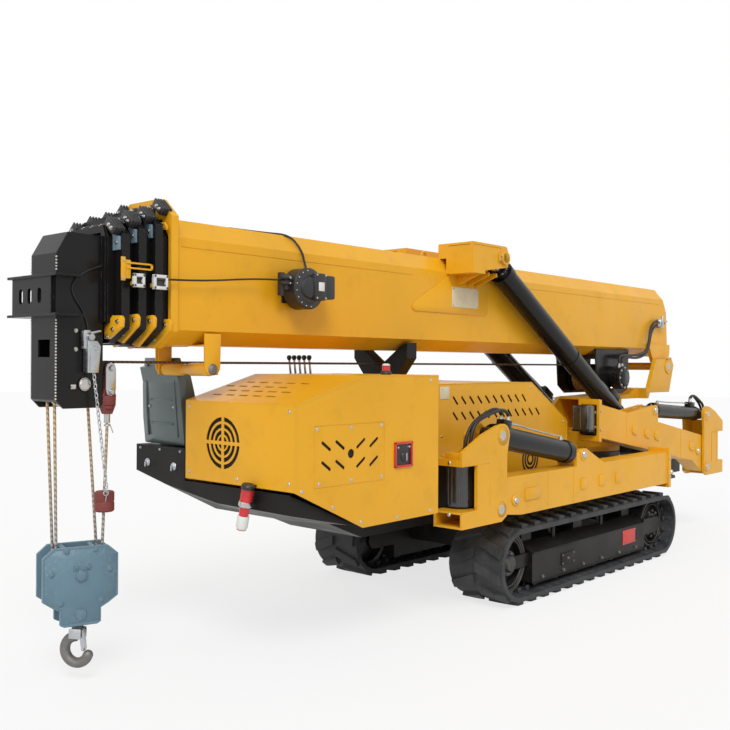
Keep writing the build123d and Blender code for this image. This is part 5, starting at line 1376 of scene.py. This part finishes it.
class CRANE_OT_track_fittings(bpy.types.Operator):
    """Fit the track frames' rollers, bolts, hubs, adjusters and blank plates"""

    bl_idname = "crane.track_fittings"
    bl_label = "Track fittings"

    FRONT, REAR, AXLE_Z = -0.420, 1.640, 0.250
    MIDDLE_Y, FRAME_SIDE, WHEEL_SIDE = 0.593, 0.736, 0.693
    TEETH, HORNS, BELT_RADIUS = 17, 56, 0.198

    def execute(self, context):
        for name, side in SIDES.items():
            place = Matrix.Diagonal((1, side, 1, 1))
            self.frame_details(name, place)
            self.wheels(name, place)
            self.belt(name, place)
        parts = bmesh.new()
        join(parts, box((1.060, -0.7385, 0.160), (1.265, -0.736, 0.266), 0.001))
        piece("track_blank_plate", parts, "chassis", ["plate_red"])
        parts = bmesh.new()
        for x in (1.068, 1.257):
            for z in (0.168, 0.258):
                join(parts, bolt((x, -0.7385, z), NEARWARD, 0.004))
        piece("track_plate_rivets", parts, "chassis", ["bare_steel"])
        return {"FINISHED"}

    def frame_details(self, name, place):
        """Rollers, rail, rim, adjuster cover and tension rod of one track frame."""
        middle, face = self.MIDDLE_Y, self.FRAME_SIDE
        lid = face + 0.006
        parts = bmesh.new()
        # bottom rollers between the frame's cheeks, with their stub bolts
        for index in range(6):
            x = -0.080 + index * 0.270
            roller = [(0, -0.088), (0.050, -0.088), (0.050, -0.062), (0.038, -0.056), (0.038, 0.056),
                      (0.050, 0.062), (0.050, 0.088), (0, 0.088)]
            join(parts, turned(roller, (x, middle, 0.102), ACROSS, 36), 1, place)
            join(parts, bolt((x, face, 0.118), ACROSS, 0.011), 2, place)
        # rail along the frame's foot, and a rim along its top
        join(parts, box((-0.203, face, 0.086), (1.420, lid, 0.094), 0.002), place=place)
        join(parts, rod((-0.200, face + 0.002, 0.286), (1.420, face + 0.002, 0.286), 0.005, 10, 0),
             place=place)
        # cover of the track adjuster, with its grease nipple
        join(parts, box((0.160, face - 0.002, 0.150), (0.330, lid, 0.232), 0.004), place=place)
        for x in (0.172, 0.318):
            for z in (0.162, 0.220):
                join(parts, bolt((x, lid, z), ACROSS, 0.006), 2, place)
        join(parts, boss([(0.004, 0.012), (0.006, 0.004), (0.010, 0.0)],
                         (0.245, lid, 0.191), ACROSS, 16), 2, place)
        # two carrier rollers on top of the frame, each with its bracket
        for x in (0.180, 0.860):
            join(parts, boss([(0.040, -0.060), (0.044, -0.050), (0.034, -0.040), (0.034, 0.040),
                              (0.044, 0.050), (0.040, 0.060)], (x, middle, 0.398), ACROSS, 36), 1, place)
            join(parts, box((x - 0.018, 0.655, 0.330), (x + 0.018, 0.667, 0.410), 0.003), place=place)
        # tension rod and spring to the idler's fork
        join(parts, rod((-0.210, middle, self.AXLE_Z), (-0.390, middle, self.AXLE_Z), 0.022, 20), 2, place)
        for y in (0.486, 0.700):
            join(parts, box((-0.400, y, 0.205), (-0.200, y + 0.010, 0.290), 0.004), place=place)
        piece(f"track_frame_{name}_trim", parts, "chassis", ["chassis_paint", "dark_steel", "cast_grey"])

    def wheels(self, name, place):
        """Hubs and rims of the drive wheel and the idler, and the drive wheel's teeth."""
        parts = bmesh.new()
        face = self.WHEEL_SIDE
        for x, holes, radius in ((self.REAR, 10, 0.100), (self.FRONT, 6, 0.062)):
            join(parts, boss([(0.046, 0.026), (0.052, 0.020), (0.060, 0.006), (0.078, 0.004), (0.082, 0.0)],
                             (x, face, self.AXLE_Z), ACROSS, 40), place=place)
            for index in range(holes):
                angle = index * 2 * math.pi / holes + 0.2
                spot = (x + radius * math.cos(angle), face, self.AXLE_Z + radius * math.sin(angle))
                join(parts, bolt(spot, ACROSS, 0.010), 1, place)
            join(parts, ring((x, face, self.AXLE_Z), ACROSS, 0.150, 0.006, 48, 8), place=place)
            join(parts, ring((x, face, self.AXLE_Z), ACROSS, 0.186, 0.007, 56, 8), place=place)
        for index in range(self.TEETH):
            angle = index * 2 * math.pi / self.TEETH
            spot = Vector((self.REAR + 0.180 * math.cos(angle), face - 0.012,
                           self.AXLE_Z + 0.180 * math.sin(angle)))
            tooth = box((-0.012, -0.004, -0.016), (0.012, 0.018, 0.016), 0.004)
            turn = Matrix.Translation(spot) @ Matrix.Rotation(-angle, 4, "Y")
            join(parts, tooth, place=place @ turn)
        piece(f"track_wheel_{name}_trim", parts, "chassis", ["dark_steel", "cast_grey"])

    def belt(self, name, place):
        """Guide horns inside the belt, further apart at the wheels, and the raised bars beside them."""
        parts = bmesh.new()
        straight, radius = self.REAR - self.FRONT, self.BELT_RADIUS
        half_turn = math.pi * radius
        length = 2 * straight + 2 * half_turn
        for index in range(self.HORNS):
            travel = length * index / self.HORNS
            if travel < straight:
                x, z, angle = self.FRONT + travel, self.AXLE_Z - radius, 0.0
            elif travel < straight + half_turn:
                angle = (travel - straight) / radius
                x, z = self.REAR + radius * math.sin(angle), self.AXLE_Z - radius * math.cos(angle)
            elif travel < 2 * straight + half_turn:
                x, z, angle = self.REAR - (travel - straight - half_turn), self.AXLE_Z + radius, math.pi
            else:
                turn = (travel - 2 * straight - half_turn) / radius
                x, z = self.FRONT - radius * math.sin(turn), self.AXLE_Z + radius * math.cos(turn)
                angle = math.pi + turn
            spot = place @ Matrix.Translation((x, self.MIDDLE_Y, z)) @ Matrix.Rotation(-angle, 4, "Y")
            near_wheel = min(abs(x - self.FRONT), abs(x - self.REAR)) < 0.24
            reach = 0.112 if near_wheel else 0.030
            for low, high in ((-reach - 0.016, -reach), (reach, reach + 0.016)):
                horn = plate([(low, 0.001), (high, 0.001), (high - 0.002, 0.030), (low + 0.002, 0.030)],
                             -0.016, 0.016, "x", 0.003)
                join(parts, horn, place=spot)
            for low, high in ((-0.178, -0.128), (0.128, 0.178)):
                join(parts, box((-0.018, low, -0.001), (0.018, high, 0.004), 0.002), place=spot)
        piece(f"track_belt_{name}_horns", parts, "chassis", ["rubber"])


class CRANE_OT_turret_fittings(bpy.types.Operator):
    """Fit the ring's bolts, the pivot caps, the lift cylinders' fittings, and the winch's rope and motor"""

    bl_idname = "crane.turret_fittings"
    bl_label = "Turret fittings"

    def execute(self, context):
        parts = bmesh.new()
        slew_x, bolt_circle, bolts = 1.740, 0.308, 30
        for index in range(bolts):
            angle = index * 2 * math.pi / bolts
            spot = (slew_x + bolt_circle * math.cos(angle), bolt_circle * math.sin(angle), 0.790)
            join(parts, bolt(spot, UP, 0.011))
        for height in (0.700, 0.745):
            join(parts, ring((slew_x, 0, height), UP, 0.331, 0.005, 72, 8))
        piece("ring_bolts", parts, "turret", ["bare_steel"])
        parts = bmesh.new()
        for side in SIDES.values():
            out = (0, side, 0)
            ear, keeper = side * 0.285, side * 0.295
            pivot = (BOOM_PIVOT[0], ear, BOOM_PIVOT[1])
            join(parts, boss([(0.030, 0.014), (0.037, 0.008), (0.039, 0.0)], pivot, out, 36), 1)
            join(parts, sleeve([(0.036, 0.0), (0.064, 0.0), (0.068, 0.004), (0.064, 0.008), (0.036, 0.008)],
                               pivot, out, 44))
            join(parts, box((2.820, ear, 1.560), (2.910, keeper, 1.582), 0.003))
            for x in (2.832, 2.898):
                join(parts, bolt((x, keeper, 1.571), out, 0.008), 1)
        piece("pivot_caps", parts, "turret", ["yellow_paint", "bare_steel"])
        self.lift()
        self.winch()
        return {"FINISHED"}

    def lift(self):
        """Glands, bands, valve blocks, ports and hard lines of the two lift cylinders."""
        start, end = (Vector((x, 0, z)) for x, z in (LIFT_LOWER, LIFT_UPPER))
        along = (end - start).normalized()
        upward = Vector((along.z, 0, -along.x))
        length = (end - start).length
        trim, wires = bmesh.new(), bmesh.new()
        for side in SIDES.values():
            base = start + Vector((0, side * 0.315, 0))
            gland = base + along * (length - 0.112)
            join(trim, sleeve([(0.048, 0.0), (0.070, 0.0), (0.074, 0.004), (0.070, 0.014), (0.048, 0.014)],
                              gland, along, 48))
            for index in range(10):
                angle = index * math.pi / 5 + 0.1
                spoke = Vector(ACROSS) * math.cos(angle) + upward * math.sin(angle)
                join(trim, bolt(gland + spoke * 0.066, along, 0.008), 1)
            for distance in (0.120, 1.0):
                join(trim, sleeve([(0.076, 0.0), (0.084, 0.0), (0.086, 0.008), (0.084, 0.016),
                                   (0.076, 0.016)], base + along * distance, along, 48))
            block = box((-0.070, -0.038, -0.012), (0.070, 0.038, 0.056), 0.006)
            turn = Matrix((along, Vector(ACROSS), upward)).transposed().to_4x4()
            spot = base + along * 0.240 + upward * 0.078
            join(trim, block, place=Matrix.Translation(spot) @ turn)
            for shift in (-0.040, 0.0, 0.040):
                join(trim, boss([(0.014, 0.0), (0.014, 0.014), (0.010, 0.018)], (shift, 0, 0.056), UP, 6), 1,
                     Matrix.Translation(spot) @ turn)
            port = base + along * (length - 0.230) + upward * 0.076
            join(trim, boss([(0.018, 0), (0.018, 0.018), (0.011, 0.020), (0.011, 0.032)], port,
                            upward, 20), 1)
            line = [spot + along * 0.070 + upward * 0.024, spot + along * 0.130 + upward * 0.030,
                    spot + along * 0.400 + upward * 0.016, spot + along * 1.200 + upward * 0.016,
                    port - along * 0.100 + upward * 0.024, port + upward * 0.028]
            join(wires, pipe(line, 0.007))
            for distance in (0.300, 0.700, 1.100):
                join(trim, box((-0.014, -0.016, -0.004), (0.014, 0.016, 0.014), 0.003),
                     place=Matrix.Translation(spot + along * distance) @ turn)
            # lower eye's cap
            join(trim, boss([(0.040, 0.010), (0.046, 0.004), (0.046, 0.0)],
                            base + Vector((0, side * 0.034, 0)), (0, side, 0), 32), 1)
        piece("lift_barrel_trim", trim, "lift_barrels", ["black_paint", "bare_steel"])
        piece("lift_hard_lines", wires, "lift_barrels", ["zinc"])

    def winch(self):
        """Rope on the drum, and the motor's cover, bolts, bands and hose fittings."""
        x, z = WINCH
        parts = bmesh.new()
        # rope wound in two layers over the drum
        wraps, pitch = 22, 0.0136
        for layer, radius in ((0, 0.098), (1, 0.109)):
            for index in range(wraps - layer):
                y = -0.145 + (index + layer * 0.5) * pitch
                join(parts, ring((x, y, z), ACROSS, radius, 0.0066, 40, 8))
        piece("winch_rope", parts, "boom", ["wire_rope"])
        parts = bmesh.new()
        for y in (-0.300, -0.292):
            join(parts, boss([(0.060, 0.010), (0.070, 0.004), (0.074, 0.0)], (x, y, z), NEARWARD, 40))
        for index in range(8):
            angle = index * math.pi / 4
            join(parts, bolt((x + 0.084 * math.cos(angle), -0.300, z + 0.084 * math.sin(angle)),
                             NEARWARD, 0.008), 1)
        for y in (-0.285, -0.262, -0.239, -0.216):
            join(parts, ring((x, y, z), ACROSS, 0.096, 0.004, 48, 6))
        for shift in (-0.026, 0.026):
            join(parts, boss([(0.018, 0), (0.018, 0.016), (0.012, 0.018), (0.012, 0.034)],
                             (x + shift, -0.262, z + 0.086), UP, 20), 1)
        piece("winch_motor_trim", parts, "boom", ["black_paint", "bare_steel"])


class CRANE_OT_studio(bpy.types.Operator):
    """Lay the pale floor, light the crane and place the camera"""

    bl_idname = "crane.studio"
    bl_label = "Studio"

    # the floor's own share of its white, the rest being light and shadow; its size; the world's light
    FLOOR_GLOW, FLOOR_SIZE, WORLD_LIGHT = 0.74, 40.0, 0.55
    # name, direction, strength and width in degrees of each lamp
    LAMPS = (("key", (0.55, 0.65, -0.9), 1.6, 25), ("fill", (0.9, 0.1, -0.35), 0.5, 40))
    # the camera's place, its yaw, pitch and roll in degrees, and its lens and sensor width in millimetres
    EYE, AIM, LENS, SENSOR = (DATUM - 5.365, -3.905, 1.5), (41.895, -0.047, 0.362), 45.56, 36.0

    def execute(self, context):
        self.floor(context)
        self.light(context)
        self.camera(context)
        return {"FINISHED"}

    def floor(self, context):
        """Pale floor that fades to white."""
        parts = bmesh.new()
        bmesh.ops.create_grid(parts, x_segments=4, y_segments=4, size=self.FLOOR_SIZE)
        mesh = bpy.data.meshes.new("studio_floor")
        parts.to_mesh(mesh)
        parts.free()
        floor = bpy.data.objects.new("studio_floor", mesh)
        mesh.transform(Matrix.Translation((0, 0, -0.002)))
        context.scene.collection.objects.link(floor)
        material, tree, principled, _ = shader("studio_floor")
        fill(tree, principled, {"Base Color": (0.86, 0.86, 0.86, 1), "Roughness": 0.9})
        glow = node(tree, "ShaderNodeEmission", {"Color": (1, 1, 1, 1), "Strength": 1.0})
        share = math_node(tree, "MULTIPLY", self.seen(tree), self.FLOOR_GLOW)
        blend = node(tree, "ShaderNodeMixShader", {0: share, 1: principled.outputs[0], 2: glow.outputs[0]})
        tree.links.new(blend.outputs[0], tree.nodes["Material Output"].inputs["Surface"])
        mesh.materials.append(material)

    def seen(self, tree):
        """1 for the rays that look at the background: camera, mirror and transmission rays."""
        path = node(tree, "ShaderNodeLightPath")
        seen = path.outputs["Is Camera Ray"]
        for kind in ("Is Glossy Ray", "Is Transmission Ray"):
            seen = math_node(tree, "MAXIMUM", seen, path.outputs[kind])
        return seen

    def light(self, context):
        """White world behind everything, and two soft suns."""
        world = bpy.data.worlds.new("studio")
        context.scene.world = world
        world.use_nodes = True
        tree = world.node_tree
        background = tree.nodes["Background"]
        background.inputs["Color"].default_value = (1, 1, 1, 1)
        tree.links.new(remap(tree, self.seen(tree), 0.0, 1.0, self.WORLD_LIGHT, 1.0),
                       background.inputs["Strength"])
        for name, aim, strength, angle in self.LAMPS:
            lamp = bpy.data.lights.new(name, "SUN")
            lamp.energy = strength
            lamp.angle = math.radians(angle)
            sun = bpy.data.objects.new(name, lamp)
            sun.matrix_world = Vector(aim).to_track_quat("-Z", "Y").to_matrix().to_4x4()
            context.scene.collection.objects.link(sun)

    def camera(self, context):
        """Camera at eye level off the near front corner."""
        yaw, pitch, roll = (math.radians(angle) for angle in self.AIM)
        ahead = Vector((math.cos(yaw) * math.cos(pitch), math.sin(yaw) * math.cos(pitch), math.sin(pitch)))
        right = Vector((math.sin(yaw), -math.cos(yaw), 0))
        upward = right.cross(ahead)
        side = right * math.cos(roll) + upward * math.sin(roll)
        top = upward * math.cos(roll) - right * math.sin(roll)
        data = bpy.data.cameras.new("camera")
        data.lens, data.sensor_width = self.LENS, self.SENSOR
        data.clip_end = 200.0
        camera = bpy.data.objects.new("camera", data)
        context.scene.collection.objects.link(camera)
        turn = Matrix((side, top, -ahead)).transposed().to_4x4()
        camera.matrix_world = Matrix.Translation(self.EYE) @ turn
        context.scene.camera = camera
        context.scene.view_settings.view_transform = "Standard"


class CRANE_PT_panel(bpy.types.Panel):
    """The crane's settings and steps"""

    bl_idname = "CRANE_PT_panel"
    bl_label = "Spider Crane"
    bl_space_type = "VIEW_3D"
    bl_region_type = "UI"
    bl_category = "Crane"

    def draw(self, context):
        for name in CraneSettings.__annotations__:
            self.layout.prop(context.scene.crane, name)
        for step in STEPS:
            self.layout.operator(step.bl_idname)


STEPS = (CRANE_OT_paint_frame, CRANE_OT_head_fittings, CRANE_OT_collar_fittings, CRANE_OT_boom_fittings,
         CRANE_OT_hook_fittings, CRANE_OT_cover_fittings, CRANE_OT_operator_station,
         CRANE_OT_outrigger_fittings, CRANE_OT_track_fittings, CRANE_OT_turret_fittings, CRANE_OT_studio)
CLASSES = (CraneSettings, *STEPS, CRANE_PT_panel)


def register():
    """Adds the classes and the scene's settings."""
    for cls in CLASSES:
        bpy.utils.register_class(cls)
    bpy.types.Scene.crane = bpy.props.PointerProperty(type=CraneSettings)


def unregister():
    """Takes them away again."""
    del bpy.types.Scene.crane
    for cls in reversed(CLASSES):
        bpy.utils.unregister_class(cls)


def main():
    """Runs every step."""
    register()
    for step in STEPS:
        category, name = step.bl_idname.split(".")
        getattr(getattr(bpy.ops, category), name)()


if __name__ == "__main__":
    main()
